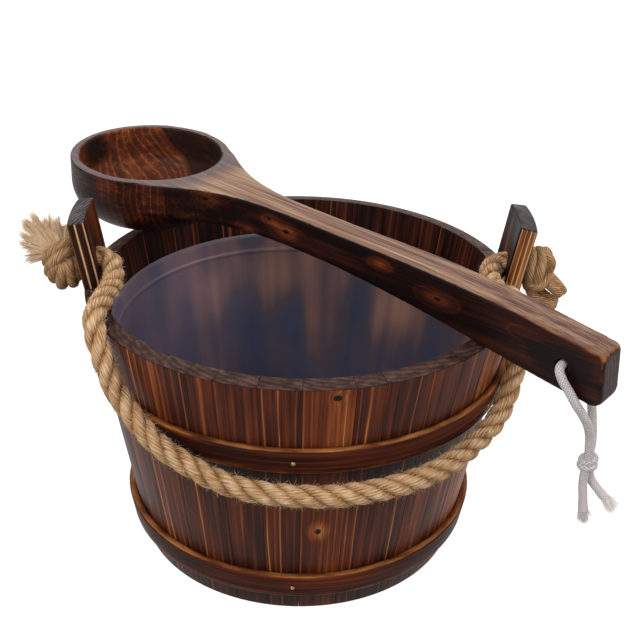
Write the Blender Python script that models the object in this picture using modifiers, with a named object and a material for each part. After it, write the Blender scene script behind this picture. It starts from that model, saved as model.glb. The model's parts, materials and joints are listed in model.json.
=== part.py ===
"""Coopered sauna bucket with a rope bail, a loose plastic liner and a one-piece wooden ladle.

Units are metres and +Z is up. The bucket stands on z = 0, its bail hinges on a line along X, and the
origin is the middle of the footprint of bucket and ladle together.
"""

import math

import bmesh
import bpy
from mathutils import Matrix, Vector

MM = 0.001

# Gap between two pieces that touch on the real bucket
TOUCH = 0.3 * MM

# Staves: radii and heights are those of the outer face, and the lean follows from them
RIM_RADIUS = 130.0 * MM
BASE_RADIUS = 101.0 * MM
RIM_HEIGHT = 169.5 * MM
WALL = 10.3 * MM
STAVE_EASE = 0.5 * MM
LEAN = math.atan2(RIM_RADIUS - BASE_RADIUS, RIM_HEIGHT)

# Relative widths of the plain staves, left ear to right ear along the front, then back again
FRONT_STAVES = (11.2, 11.5, 10.5, 12.0, 8.0, 7.0, 10.7, 10.5, 12.5, 7.5, 12.3, 9.6, 10.5, 9.5, 10.0, 9.5)
BACK_STAVES = (10.4, 12.2, 9.1, 11.5, 10.8, 8.6, 12.4, 11.0, 9.7, 11.9, 10.2, 12.0, 9.4, 11.3, 12.3)
STAVE_FACET = math.radians(3.6)

# Ears: the two tall staves that carry the rope
EAR_WIDTH = 39.0 * MM
EAR_RISE = 41.7 * MM
EAR_EASE = 1.2 * MM
ROPE_HOLE_RISE = 12.5 * MM
ROPE_HOLE_FIT = 0.75 * MM
EAR_HALF_ANGLE = EAR_WIDTH / 2 / RIM_RADIUS
HINGE_HEIGHT = RIM_HEIGHT + ROPE_HOLE_RISE

# Bottom boards, held in a groove round the inside of the staves
GROOVE_HEIGHT = 12.0 * MM
GROOVE_DEPTH = 3.0 * MM
BOARD_THICKNESS = 8.0 * MM
BOARD_COUNT = 4
BOARD_FACETS = 96

# Hoops: two flat wooden bands, each bent round and butted at the back
HOOP_THICKNESS = 4.5 * MM
HOOP_WIDTH = 15.7 * MM
HOOP_EDGE = 1.2 * MM
LOWER_HOOP_HEIGHT = 14.5 * MM
UPPER_HOOP_HEIGHT = 114.3 * MM
HOOP_JOINT = 0.5 * MM
HOOP_JOINT_ANGLE = math.radians(90)
HOOP_FACETS = 72

# Brads that pin each hoop to the staves
LOWER_BRAD_COUNT = 3
UPPER_BRAD_COUNT = 6
FIRST_BRAD_ANGLE = math.radians(-92)
BRAD_HEAD_RADIUS = 1.4 * MM
BRAD_HEAD_HEIGHT = 0.7 * MM
BRAD_SHANK_RADIUS = 0.65 * MM
BRAD_LENGTH = 10.0 * MM
BRAD_TIP = 1.2 * MM
BRAD_FACETS = 8

# Liner: a thin pail that stands loose on the boards and leans a little to one side
LINER_RIM_HEIGHT = 150.0 * MM
LINER_WALL = 1.2 * MM
LINER_PLAY = 3.1 * MM
LINER_CORNER = 6.0 * MM
LINER_RIB_DROP = 12.0 * MM
LINER_RIB = 0.7 * MM
LINER_SHIFT_ANGLE = math.radians(-147)
LINER_NEAREST = 0.5 * MM
LINER_FACETS = 48

# Rope of the bail
ROPE_DIAMETER = 12.5 * MM
ROPE_SPACING = 7.0 * MM
ROPE_SOCKET = 1.6 * MM

# Route of the rope between the ears, in millimetres from the middle of the hinge line
ROPE_ROUTE = (
    (-121.5, 0.0, 0.0),
    (-115.6, -1.6, -1.2),
    (-112.3, -9.0, -3.3),
    (-110.7, -25.1, -5.1),
    (-112.6, -45.8, -3.3),
    (-115.1, -62.7, -4.1),
    (-114.6, -71.7, -7.4),
    (-112.4, -78.5, -13.0),
    (-108.3, -84.4, -23.4),
    (-103.4, -89.1, -35.1),
    (-96.8, -94.3, -44.7),
    (-88.2, -101.6, -52.9),
    (-79.6, -108.1, -59.5),
    (-70.1, -113.2, -64.4),
    (-60.1, -117.6, -68.4),
    (-49.1, -122.2, -72.3),
    (-35.5, -126.7, -75.3),
    (-20.9, -129.9, -76.7),
    (-5.9, -131.7, -77.2),
    (10.1, -131.8, -77.6),
    (26.3, -129.8, -77.6),
    (42.6, -125.5, -77.2),
    (59.4, -118.7, -76.7),
    (76.0, -108.4, -75.9),
    (90.0, -95.9, -74.5),
    (102.4, -82.5, -71.9),
    (112.9, -70.6, -66.6),
    (119.0, -60.6, -60.0),
    (123.2, -53.3, -50.8),
    (124.9, -50.0, -42.7),
    (126.9, -48.6, -26.9),
    (126.6, -49.6, -8.6),
    (121.0, -48.4, -1.4),
    (114.2, -42.6, 0.6),
    (110.6, -31.0, -0.9),
    (110.6, -17.5, -1.4),
    (112.6, -7.0, -0.9),
    (116.6, -1.2, -0.2),
    (121.5, 0.0, 0.0),
)

# Knots behind the ears: half sizes, how far the middle stands off the ear and hangs below the hole
KNOT_FACETS = 20
LEFT_KNOT_HALF = Vector((13.5, 15.5, 17.0)) * MM
LEFT_KNOT_STAND = 12.2 * MM
LEFT_KNOT_DROP = 4.0 * MM
RIGHT_KNOT_HALF = Vector((11.5, 14.5, 15.0)) * MM
RIGHT_KNOT_STAND = 10.2 * MM
RIGHT_KNOT_DROP = 5.0 * MM

# Rope tails: direction out of the knot, where the knot is left flat for it, length and spread
LEFT_TAIL_DIRECTION = Vector((-0.62, 0.0, 0.78))
LEFT_TAIL_SEAT = 11.5 * MM
LEFT_TAIL_LENGTH = 19.0 * MM
LEFT_TAIL_SPREAD = 2.1
RIGHT_TAIL_DIRECTION = Vector((0.62, -0.10, -0.78))
RIGHT_TAIL_SEAT = 11.0 * MM
RIGHT_TAIL_LENGTH = 17.0 * MM
RIGHT_TAIL_SPREAD = 1.25

# Ladle: the bowl's foot stands on the bucket's rim, with its middle this far outside the staves
LADLE_BEARING = math.radians(137.47)
LADLE_OVERHANG = 4.76 * MM
LADLE_SEAT = 0.57 * MM
LADLE_TURN = math.radians(-39.56)
LADLE_TILT = math.radians(1.58)
BOWL_RADIUS = 51.6 * MM
BOWL_WALL = 5.8 * MM
BOWL_STRAIGHT = 16.4 * MM
BOWL_DEPTH = 42.8 * MM
BOWL_FOOT_RADIUS = 21.7 * MM
BOWL_FLOOR = 6.0 * MM
BOWL_FACETS = 48
BOWL_ARC_POINTS = 7

# Handle of the ladle: distance from the bowl's middle, half width, top and bottom, in millimetres
HANDLE_STATIONS = (
    (24.0, 44.6, -0.2, -21.0),
    (31.0, 42.6, -0.2, -21.6),
    (38.0, 38.8, -0.3, -22.2),
    (46.0, 33.2, -0.4, -22.8),
    (54.0, 27.6, -0.5, -23.2),
    (63.0, 22.4, -0.6, -23.4),
    (73.0, 17.8, -0.8, -23.5),
    (85.0, 13.8, -1.1, -23.5),
    (100.0, 11.0, -1.5, -23.5),
    (118.0, 9.6, -1.9, -23.6),
    (160.0, 9.6, -2.8, -24.7),
    (190.0, 10.2, -3.1, -26.9),
    (220.0, 10.8, -3.6, -29.9),
    (250.0, 10.9, -5.2, -34.0),
    (280.0, 10.9, -7.5, -38.8),
    (327.5, 10.2, -13.8, -46.3),
    (335.0, 8.4, -17.0, -40.5),
)
HANDLE_TOP_EASE = 1.2 * MM
HANDLE_BOTTOM_EASE = 3.0 * MM

# Hanging cord of the ladle
CORD_DIAMETER = 5.3 * MM
CORD_SPACING = 3.8 * MM
CORD_HOLE_FIT = 1.1 * MM
CORD_HOLE_PLACE = Vector((312.5, 0.0, -28.5)) * MM

# Route of the cord's loop in millimetres from the bowl's middle, up the near side and down the far
CORD_ROUTE = (
    (332.2, -3.1, -75.0),
    (332.3, -4.0, -67.0),
    (331.5, -7.2, -58.8),
    (329.2, -10.8, -51.4),
    (325.6, -13.6, -45.0),
    (321.2, -14.2, -39.2),
    (316.8, -14.6, -34.0),
    (313.6, -13.4, -29.9),
    (312.5, -9.8, -28.5),
    (312.5, 0.0, -28.5),
    (312.5, 9.8, -28.5),
    (313.4, 13.4, -30.2),
    (315.6, 14.6, -35.5),
    (318.6, 14.2, -43.0),
    (321.8, 12.4, -51.0),
    (325.4, 9.4, -59.0),
    (329.6, 5.4, -67.0),
    (331.8, 3.4, -75.0),
)

# Knot of the cord and the two tails under it, from the bowl's middle
CORD_KNOT_PLACE = Vector((332.4, 0.0, -85.7)) * MM
CORD_KNOT_HALF = Vector((6.8, 6.4, 7.2)) * MM
CORD_KNOT_FLAT = 5.5 * MM
CORD_STRAND_OFFSET = 3.1 * MM
CORD_TAIL_START = 3.0 * MM
CORD_TAIL_SPREAD = 1.7
LONG_TAIL_ROUTE = ((333.4, -3.4, -99.0), (334.6, -3.8, -104.5), (335.6, -4.0, -110.0), (337.2, -4.2, -117.0))
SHORT_TAIL_ROUTE = ((334.6, 3.4, -98.0), (338.4, 3.8, -102.0), (342.6, 4.2, -105.4), (347.0, 4.4, -108.4))

FULL_TURN = 2 * math.pi


def outer_radius(height):
    """Radius of the staves' outer face at a height above the floor."""
    return BASE_RADIUS + height * math.tan(LEAN)


def inner_radius(height):
    """Radius of the staves' inner face at a height above the floor."""
    return outer_radius(height) - WALL / math.cos(LEAN)


def collection(name):
    """A new collection in the scene."""
    made = bpy.data.collections.new(name)
    bpy.context.scene.collection.children.link(made)
    return made


def material(name, colour, roughness, metallic=0.0, alpha=1.0):
    """A Principled material of one linear colour."""
    made = bpy.data.materials.new(name)
    made.use_nodes = True
    shader = made.node_tree.nodes["Principled BSDF"]
    shader.inputs["Base Color"].default_value = (*colour, 1.0)
    shader.inputs["Roughness"].default_value = roughness
    shader.inputs["Metallic"].default_value = metallic
    shader.inputs["Alpha"].default_value = alpha
    made.diffuse_color = (*colour, alpha)
    return made


def empty(name, parent=None):
    """An empty that carries the pieces parented to it."""
    made = bpy.data.objects.new(name, None)
    made.empty_display_size = 0.02
    made.parent = parent
    PARTS.objects.link(made)
    return made


def add_piece(name, data, finish, parent):
    """Put a mesh or curve into the model as one named piece."""
    piece = bpy.data.objects.new(name, data)
    piece.data.materials.append(finish)
    piece.parent = parent
    PARTS.objects.link(piece)
    return piece


def add_cutter(name, bm, parent):
    """Keep a shape as a cutter or joining shape, which is not a piece of the bucket."""
    mesh = bpy.data.meshes.new(name)
    bm.to_mesh(mesh)
    bm.free()
    made = bpy.data.objects.new(name, mesh)
    made.parent = parent
    made.hide_render = True
    made.display_type = "WIRE"
    CUTTERS.objects.link(made)
    return made


def boolean(piece, other, operation="DIFFERENCE"):
    """Cut a piece with another shape, or join the other shape to it."""
    modifier = piece.modifiers.new(other.name, "BOOLEAN")
    modifier.operation = operation
    modifier.solver = "EXACT"
    modifier.object = other


def finished_mesh(name, bm, smooth_angle=math.radians(35)):
    """Turn a bmesh into a mesh that is smooth on its round faces and sharp at its edges."""
    bmesh.ops.recalc_face_normals(bm, faces=bm.faces)
    mesh = bpy.data.meshes.new(name)
    bm.to_mesh(mesh)
    bm.free()
    mesh.shade_smooth()
    mesh.set_sharp_from_angle(angle=smooth_angle)
    return mesh


def spun_outline(outline, start, sweep, steps):
    """Carry a closed (radius, height) outline round the Z axis, from start through sweep."""
    bm = bmesh.new()
    first = Matrix.Rotation(start, 3, "Z")
    corners = [bm.verts.new(first @ Vector((radius, 0.0, height))) for radius, height in outline]
    bm.faces.new(corners)
    geometry = bm.verts[:] + bm.edges[:] + bm.faces[:]
    bmesh.ops.spin(bm, geom=geometry, cent=(0, 0, 0), axis=(0, 0, 1), angle=sweep, steps=steps)
    return bm


def turned_outline(outline, steps):
    """Turn an open (radius, height) line, whose ends lie on the Z axis, into a closed body."""
    bm = bmesh.new()
    points = [bm.verts.new((radius, 0.0, height)) for radius, height in outline]
    for upper, lower in zip(points, points[1:]):
        bm.edges.new((upper, lower))
    geometry = bm.verts[:] + bm.edges[:]
    bmesh.ops.spin(bm, geom=geometry, cent=(0, 0, 0), axis=(0, 0, 1), angle=FULL_TURN, steps=steps)
    bmesh.ops.remove_doubles(bm, verts=bm.verts, dist=0.01 * MM)
    bmesh.ops.recalc_face_normals(bm, faces=bm.faces)
    return bm


def cut_flat(bm, point, normal):
    """Slice off what lies beyond a plane and close the cut with a flat face."""
    geometry = bm.verts[:] + bm.edges[:] + bm.faces[:]
    bmesh.ops.bisect_plane(bm, geom=geometry, plane_co=point, plane_no=normal, clear_outer=True)
    open_edges = [edge for edge in bm.edges if edge.is_boundary]
    bmesh.ops.holes_fill(bm, edges=open_edges)


def rod(radius, start, end, facets):
    """A closed round rod between two points."""
    bm = bmesh.new()
    length = (end - start).length
    turn = (end - start).to_track_quat("Z", "Y").to_matrix().to_4x4()
    place = Matrix.Translation((start + end) / 2) @ turn
    bmesh.ops.create_cone(bm, cap_ends=True, segments=facets, radius1=radius, radius2=radius,
                          depth=length, matrix=place)
    return bm


def lump(centre, half):
    """A closed egg-shaped lump with the given half sizes."""
    bm = bmesh.new()
    shape = Matrix.Translation(centre) @ Matrix.Diagonal((*half, 1.0))
    bmesh.ops.create_uvsphere(bm, u_segments=KNOT_FACETS, v_segments=KNOT_FACETS // 2, radius=1.0, matrix=shape)
    return bm


def smooth_route(points, spacing):
    """Points at an even spacing along a smooth Catmull-Rom curve through the route's points."""
    fine = []
    last = len(points) - 1
    for index in range(last):
        before = points[max(index - 1, 0)]
        start = points[index]
        end = points[index + 1]
        after = points[min(index + 2, last)]
        for step in range(16):
            t = step / 16
            pull = 2 * start + (end - before) * t + (2 * before - 5 * start + 4 * end - after) * t * t
            fine.append((pull + (3 * start - before - 3 * end + after) * t ** 3) / 2)
    fine.append(points[last])
    lengths = [0.0]
    for first, second in zip(fine, fine[1:]):
        lengths.append(lengths[-1] + (second - first).length)
    count = max(2, round(lengths[-1] / spacing))
    even = []
    index = 0
    for step in range(count + 1):
        wanted = lengths[-1] * step / count
        while index < len(fine) - 2 and lengths[index + 1] < wanted:
            index += 1
        share = (wanted - lengths[index]) / (lengths[index + 1] - lengths[index])
        even.append(fine[index].lerp(fine[index + 1], share))
    return even


def add_tube(name, points, diameter, resolution, finish, parent, widths=None):
    """A round tube along points, with filled ends. Widths are factors on its diameter."""
    curve = bpy.data.curves.new(name, "CURVE")
    curve.dimensions = "3D"
    curve.bevel_depth = diameter / 2
    curve.bevel_resolution = resolution
    curve.use_fill_caps = True
    spline = curve.splines.new("POLY")
    spline.points.add(len(points) - 1)
    for index, point in enumerate(points):
        spline.points[index].co = (*point, 1.0)
        spline.points[index].radius = widths[index] if widths else 1.0
    return add_piece(name, curve, finish, parent)


def stave_outline(top_height):
    """A stave's section: level foot, groove for the boards, top cut square to the lean."""
    top_outer = Vector((outer_radius(top_height), top_height))
    top_inner = top_outer + WALL * Vector((-math.cos(LEAN), math.sin(LEAN)))
    groove_top = GROOVE_HEIGHT + BOARD_THICKNESS + 2 * TOUCH
    groove_radius = inner_radius(GROOVE_HEIGHT) + GROOVE_DEPTH
    return [
        (outer_radius(0.0), 0.0),
        tuple(top_outer),
        tuple(top_inner),
        (inner_radius(groove_top), groove_top),
        (groove_radius, groove_top),
        (groove_radius, GROOVE_HEIGHT),
        (inner_radius(GROOVE_HEIGHT), GROOVE_HEIGHT),
        (inner_radius(0.0), 0.0),
    ]


def add_stave(name, start, sweep, top_height, ease):
    """One stave between two radial seams, with its rim and long edges eased."""
    seam_angle = TOUCH / inner_radius(0.0)
    steps = max(2, round(sweep / STAVE_FACET))
    bm = spun_outline(stave_outline(top_height), start + seam_angle / 2, sweep - seam_angle, steps)
    bmesh.ops.recalc_face_normals(bm, faces=bm.faces)
    edges = []
    for edge in bm.edges:
        reaches_top = max(vertex.co.z for vertex in edge.verts) > top_height - TOUCH
        if reaches_top and edge.calc_face_angle() > math.radians(40):
            edges.append(edge)
    bmesh.ops.bevel(bm, geom=edges, offset=ease, offset_type="OFFSET", segments=1, profile=0.5,
                    affect="EDGES", clamp_overlap=True)
    return add_piece(name, finished_mesh(name, bm), CHARRED_WOOD, ROOT)


def add_plain_staves(prefix, widths, start):
    """A run of staves that fills the space between the ears, in proportion to their widths."""
    span = math.pi - 2 * EAR_HALF_ANGLE
    staves = []
    for number, width in enumerate(widths, start=1):
        sweep = span * width / sum(widths)
        piece = add_stave(f"{prefix}_stave_{number:02d}", start, sweep, RIM_HEIGHT, STAVE_EASE)
        staves.append((piece, start, sweep))
        start += sweep
    return staves


def add_ears():
    """The two tall staves, each bored along the hinge line for the rope."""
    reach = Vector((outer_radius(RIM_HEIGHT + EAR_RISE) + WALL, 0.0, 0.0))
    hinge = Vector((0.0, 0.0, HINGE_HEIGHT))
    hole_radius = ROPE_DIAMETER / 2 + ROPE_HOLE_FIT
    cutter = add_cutter("rope_holes", rod(hole_radius, hinge - reach, hinge + reach, 32), ROOT)
    ears = []
    for side, middle in (("left", math.pi), ("right", 0.0)):
        start = middle - EAR_HALF_ANGLE
        ear = add_stave(f"ear_stave_{side}", start, 2 * EAR_HALF_ANGLE, RIM_HEIGHT + EAR_RISE, EAR_EASE)
        boolean(ear, cutter)
        ears.append((ear, start, 2 * EAR_HALF_ANGLE))
    return ears


def add_bottom_boards():
    """Straight boards that make up the round bottom, each cut from the same disc."""
    disc_radius = inner_radius(GROOVE_HEIGHT) + GROOVE_DEPTH - TOUCH
    low = Vector((0.0, 0.0, GROOVE_HEIGHT + TOUCH))
    high = low + Vector((0.0, 0.0, BOARD_THICKNESS))
    board_width = 2 * disc_radius / BOARD_COUNT
    for number in range(BOARD_COUNT):
        bm = rod(disc_radius, low, high, BOARD_FACETS)
        left = -disc_radius + number * board_width
        if number > 0:
            cut_flat(bm, Vector((left + TOUCH / 2, 0.0, 0.0)), Vector((-1.0, 0.0, 0.0)))
        if number < BOARD_COUNT - 1:
            cut_flat(bm, Vector((left + board_width - TOUCH / 2, 0.0, 0.0)), Vector((1.0, 0.0, 0.0)))
        name = f"bottom_board_{number + 1}"
        add_piece(name, finished_mesh(name, bm), CHARRED_WOOD, ROOT)


def hoop_face(height):
    """Radius of a hoop's outer face at a height above the floor."""
    return outer_radius(height) + (TOUCH + HOOP_THICKNESS) / math.cos(LEAN)


def add_hoop(name, low):
    """A flat band round the staves, with chamfered outer edges and a butt joint at the back."""
    high = low + HOOP_WIDTH
    to_flat = 1 / math.cos(FULL_TURN / HOOP_FACETS / 2)
    inner = TOUCH / math.cos(LEAN)
    chamfer = HOOP_EDGE * math.tan(LEAN)
    outline = [
        ((outer_radius(low) + inner) * to_flat, low),
        ((hoop_face(low) - HOOP_EDGE) * to_flat, low),
        ((hoop_face(low) + chamfer) * to_flat, low + HOOP_EDGE),
        ((hoop_face(high) - chamfer) * to_flat, high - HOOP_EDGE),
        ((hoop_face(high) - HOOP_EDGE) * to_flat, high),
        ((outer_radius(high) + inner) * to_flat, high),
    ]
    opening = HOOP_JOINT / outer_radius(low)
    start = HOOP_JOINT_ANGLE + opening / 2
    bm = spun_outline(outline, start, FULL_TURN - opening, HOOP_FACETS)
    return add_piece(name, finished_mesh(name, bm), CHARRED_WOOD, ROOT)


def brad_frame(angle, hoop_low):
    """Where a brad enters the hoop: its axis runs square to the leaning wall, +Z outwards."""
    height = hoop_low + HOOP_WIDTH / 2
    outwards = Vector((math.cos(LEAN), 0.0, -math.sin(LEAN)))
    point = Vector((hoop_face(height) / math.cos(FULL_TURN / HOOP_FACETS / 2), 0.0, height))
    stand = outwards.to_track_quat("Z", "Y").to_matrix().to_4x4()
    return Matrix.Rotation(angle, 4, "Z") @ Matrix.Translation(point) @ stand


def join_copies(make, frames):
    """One bmesh that holds a copy of a shape at each frame."""
    joined = bmesh.new()
    for frame in frames:
        single = make()
        bmesh.ops.transform(single, matrix=frame, verts=single.verts)
        mesh = bpy.data.meshes.new("copy")
        single.to_mesh(mesh)
        single.free()
        joined.from_mesh(mesh)
        bpy.data.meshes.remove(mesh)
    return joined


def brad_body():
    """A brad along Z: a low domed head above the hoop's face and a pointed shank below it."""
    head_foot = TOUCH
    tip = head_foot - BRAD_LENGTH
    return turned_outline([
        (0.0, head_foot + BRAD_HEAD_HEIGHT),
        (BRAD_HEAD_RADIUS * 0.6, head_foot + BRAD_HEAD_HEIGHT * 0.85),
        (BRAD_HEAD_RADIUS, head_foot),
        (BRAD_SHANK_RADIUS, head_foot),
        (BRAD_SHANK_RADIUS, tip + BRAD_TIP),
        (0.0, tip),
    ], BRAD_FACETS)


def brad_hole():
    """The hole that a brad needs, from outside the hoop into the stave."""
    bottom = TOUCH - BRAD_LENGTH - TOUCH
    radius = (BRAD_SHANK_RADIUS + TOUCH) / math.cos(math.pi / BRAD_FACETS)
    return rod(radius, Vector((0.0, 0.0, bottom)), Vector((0.0, 0.0, HOOP_THICKNESS)), BRAD_FACETS)


def add_brads(side, hoop, hoop_low, count, staves):
    """One hoop's brads, and their holes in the hoop and in the staves that they reach."""
    angles = [FIRST_BRAD_ANGLE + FULL_TURN * index / count for index in range(count)]
    frames = [brad_frame(angle, hoop_low) for angle in angles]
    mesh = finished_mesh(f"{side}_hoop_brad", brad_body())
    mesh.materials.append(BRASS)
    for number, frame in enumerate(frames, start=1):
        brad = bpy.data.objects.new(f"{side}_hoop_brad_{number}", mesh)
        brad.parent = ROOT
        brad.matrix_local = frame
        PARTS.objects.link(brad)
    holes = add_cutter(f"{side}_brad_holes", join_copies(brad_hole, frames), ROOT)
    boolean(hoop, holes)
    margin = 2 * BRAD_HEAD_RADIUS / BASE_RADIUS
    for stave, start, sweep in staves:
        for angle in angles:
            beyond_start = (angle - start + margin) % FULL_TURN
            if beyond_start < sweep + 2 * margin:
                boolean(stave, holes)
                break


def add_liner():
    """A thin pail, parallel to the wall, with a small rib under its rim."""
    floor = GROOVE_HEIGHT + 2 * TOUCH + BOARD_THICKNESS
    rim_radius = inner_radius(LINER_RIM_HEIGHT) - LINER_PLAY
    rib_height = LINER_RIM_HEIGHT - LINER_RIB_DROP
    rib_radius = inner_radius(rib_height) - LINER_PLAY
    outline = [
        (rim_radius, LINER_RIM_HEIGHT),
        (rib_radius + 2 * LINER_RIB * math.tan(LEAN), rib_height + 2 * LINER_RIB),
        (rib_radius - LINER_RIB, rib_height),
        (rib_radius - 2 * LINER_RIB * math.tan(LEAN), rib_height - 2 * LINER_RIB),
    ]
    corner_radius = inner_radius(floor + LINER_CORNER) - LINER_PLAY
    for step in range(5):
        angle = math.radians(90) * step / 4
        radius = corner_radius - LINER_CORNER * (1 - math.cos(angle))
        outline.append((radius, floor + LINER_CORNER * (1 - math.sin(angle))))
    outline.append((0.0, floor))
    mesh = bpy.data.meshes.new("liner")
    points = [(radius, 0.0, height) for radius, height in outline]
    mesh.from_pydata(points, [(index, index + 1) for index in range(len(points) - 1)], [])
    liner = add_piece("liner", mesh, CLEAR_PLASTIC, ROOT)
    screw = liner.modifiers.new("turned", "SCREW")
    screw.axis = "Z"
    screw.angle = FULL_TURN
    screw.steps = LINER_FACETS
    screw.render_steps = LINER_FACETS
    screw.use_merge_vertices = True
    screw.merge_threshold = 0.01 * MM
    screw.use_smooth_shade = True
    solidify = liner.modifiers.new("wall", "SOLIDIFY")
    solidify.thickness = LINER_WALL
    solidify.offset = -1.0
    shift = LINER_PLAY - LINER_NEAREST
    liner.location = (shift * math.cos(LINER_SHIFT_ANGLE), shift * math.sin(LINER_SHIFT_ANGLE), 0.0)
    return liner


def add_rope():
    """The rope of the bail, from knot to knot through both ears, on an empty on the hinge line."""
    hinge = empty("bail_hinge", ROOT)
    hinge.location = (0.0, 0.0, HINGE_HEIGHT)
    end = outer_radius(HINGE_HEIGHT) + ROPE_SOCKET
    route = [Vector(point) * MM for point in ROPE_ROUTE]
    inside_hole = Vector((outer_radius(HINGE_HEIGHT) - WALL / 2, 0.0, 0.0))
    outside = Vector((end, 0.0, 0.0))
    points = smooth_route([-outside, -inside_hole, *route, inside_hole, outside], ROPE_SPACING)
    return add_tube("rope_handle", points, ROPE_DIAMETER, 3, HEMP, hinge)


def add_rope_knot(side, sign, half, stand, drop, tail):
    """A stopper knot flat against the ear, with a socket for the rope, and the tail that leaves it."""
    direction, seat, length, spread = tail
    direction = direction.normalized()
    face = Vector((sign * outer_radius(HINGE_HEIGHT), 0.0, HINGE_HEIGHT))
    away = Vector((sign * math.cos(LEAN), 0.0, -math.sin(LEAN)))
    centre = face + Vector((sign * stand, 0.0, -drop))
    seat_point = centre + direction * seat
    bm = lump(centre, half)
    cut_flat(bm, face + away * TOUCH, -away)
    cut_flat(bm, seat_point, direction)
    knot = add_piece(f"rope_knot_{side}", finished_mesh(f"rope_knot_{side}", bm), HEMP, ROOT)
    socket_start = Vector((sign * (outer_radius(HINGE_HEIGHT) - WALL), 0.0, HINGE_HEIGHT))
    socket_end = Vector((sign * (outer_radius(HINGE_HEIGHT) + ROPE_SOCKET + TOUCH), 0.0, HINGE_HEIGHT))
    socket = rod(ROPE_DIAMETER / 2 + TOUCH, socket_start, socket_end, 24)
    boolean(knot, add_cutter(f"rope_socket_{side}", socket, ROOT))
    shares = (0.0, 0.35, 0.7, 1.0)
    points = [seat_point + direction * (TOUCH + length * share) for share in shares]
    widths = [1.0 + (spread - 1.0) * share for share in shares]
    add_tube(f"rope_tail_{side}", points, ROPE_DIAMETER, 3, HEMP, ROOT, widths)


def bowl_outline(radius, top, straight, depth, foot_radius):
    """A round bowl from the rim's middle to the foot's middle: upright side, then an elliptic curve."""
    outline = [(0.0, top), (radius, top)]
    for step in range(BOWL_ARC_POINTS):
        angle = math.radians(90) * step / (BOWL_ARC_POINTS - 1)
        across = foot_radius + (radius - foot_radius) * math.cos(angle)
        outline.append((across, -straight - (depth - straight) * math.sin(angle)))
    outline.append((0.0, -depth))
    return outline


def handle_section(half, top, bottom):
    """A handle section in (across, height): small chamfers above, rounder edges below."""
    upper = HANDLE_TOP_EASE
    lower = HANDLE_BOTTOM_EASE
    right = [
        (half - upper, top),
        (half, top - upper),
        (half, bottom + lower),
        (half - lower * 0.3, bottom + lower * 0.3),
        (half - lower, bottom),
    ]
    return right + [(-across, height) for across, height in reversed(right)]


def handle_body():
    """The ladle's neck and handle, lofted through its stations."""
    bm = bmesh.new()
    rings = []
    for distance, half, top, bottom in HANDLE_STATIONS:
        section = handle_section(half * MM, top * MM, bottom * MM)
        rings.append([bm.verts.new((distance * MM, across, height)) for across, height in section])
    for first, second in zip(rings, rings[1:]):
        for index in range(len(first)):
            after = (index + 1) % len(first)
            bm.faces.new((first[index], first[after], second[after], second[index]))
    bm.faces.new(rings[0])
    bm.faces.new(rings[-1])
    bmesh.ops.recalc_face_normals(bm, faces=bm.faces)
    return bm


def add_ladle():
    """The ladle, bowl and handle from one piece of wood, on an empty at the middle of its rim."""
    rest = empty("ladle_rest", ROOT)
    reach = RIM_RADIUS + LADLE_OVERHANG
    height = RIM_HEIGHT + WALL * math.sin(LEAN) + LADLE_SEAT + BOWL_DEPTH
    rest.location = (reach * math.cos(LADLE_BEARING), reach * math.sin(LADLE_BEARING), height)
    rest.rotation_euler = (0.0, LADLE_TILT, LADLE_TURN)
    blank = turned_outline(
        bowl_outline(BOWL_RADIUS, 0.0, BOWL_STRAIGHT, BOWL_DEPTH, BOWL_FOOT_RADIUS), BOWL_FACETS)
    ladle = add_piece("ladle", finished_mesh("ladle", blank), LADLE_WOOD, rest)
    boolean(ladle, add_cutter("ladle_handle_shape", handle_body(), rest), "UNION")
    hollow = bowl_outline(BOWL_RADIUS - BOWL_WALL, BOWL_WALL, BOWL_STRAIGHT, BOWL_DEPTH - BOWL_FLOOR,
                          BOWL_FOOT_RADIUS - BOWL_WALL)
    boolean(ladle, add_cutter("ladle_hollow", turned_outline(hollow, BOWL_FACETS), rest))
    across = Vector((0.0, BOWL_RADIUS, 0.0))
    hole = rod(CORD_DIAMETER / 2 + CORD_HOLE_FIT, CORD_HOLE_PLACE - across, CORD_HOLE_PLACE + across, 20)
    boolean(ladle, add_cutter("ladle_cord_hole", hole, rest))
    return rest


def add_ladle_cord(rest):
    """The cotton cord through the ladle's end: a loop, its knot and two frayed tails."""
    flat_top = CORD_KNOT_PLACE + Vector((0.0, 0.0, CORD_KNOT_FLAT))
    flat_foot = CORD_KNOT_PLACE - Vector((0.0, 0.0, CORD_KNOT_FLAT))
    side = Vector((0.0, CORD_STRAND_OFFSET, 0.0))
    up = Vector((0.0, 0.0, TOUCH))
    route = [Vector(point) * MM for point in CORD_ROUTE]
    loop = [flat_top - side + up, *route, flat_top + side + up]
    add_tube("ladle_cord", smooth_route(loop, CORD_SPACING), CORD_DIAMETER, 2, COTTON, rest)
    bm = lump(CORD_KNOT_PLACE, CORD_KNOT_HALF)
    cut_flat(bm, flat_top, Vector((0.0, 0.0, 1.0)))
    cut_flat(bm, flat_foot, Vector((0.0, 0.0, -1.0)))
    add_piece("ladle_cord_knot", finished_mesh("ladle_cord_knot", bm), COTTON, rest)
    for name, start, tail in (("long", -side, LONG_TAIL_ROUTE), ("short", side, SHORT_TAIL_ROUTE)):
        first = flat_foot + start - up
        straight = first - Vector((0.0, 0.0, CORD_TAIL_START))
        route = [first, straight, *[Vector(point) * MM for point in tail]]
        points = smooth_route(route, CORD_SPACING)
        widths = [1.0] * (len(points) - 2) + [1.0 + (CORD_TAIL_SPREAD - 1.0) / 2, CORD_TAIL_SPREAD]
        add_tube(f"ladle_cord_tail_{name}", points, CORD_DIAMETER, 2, COTTON, rest, widths)


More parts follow.
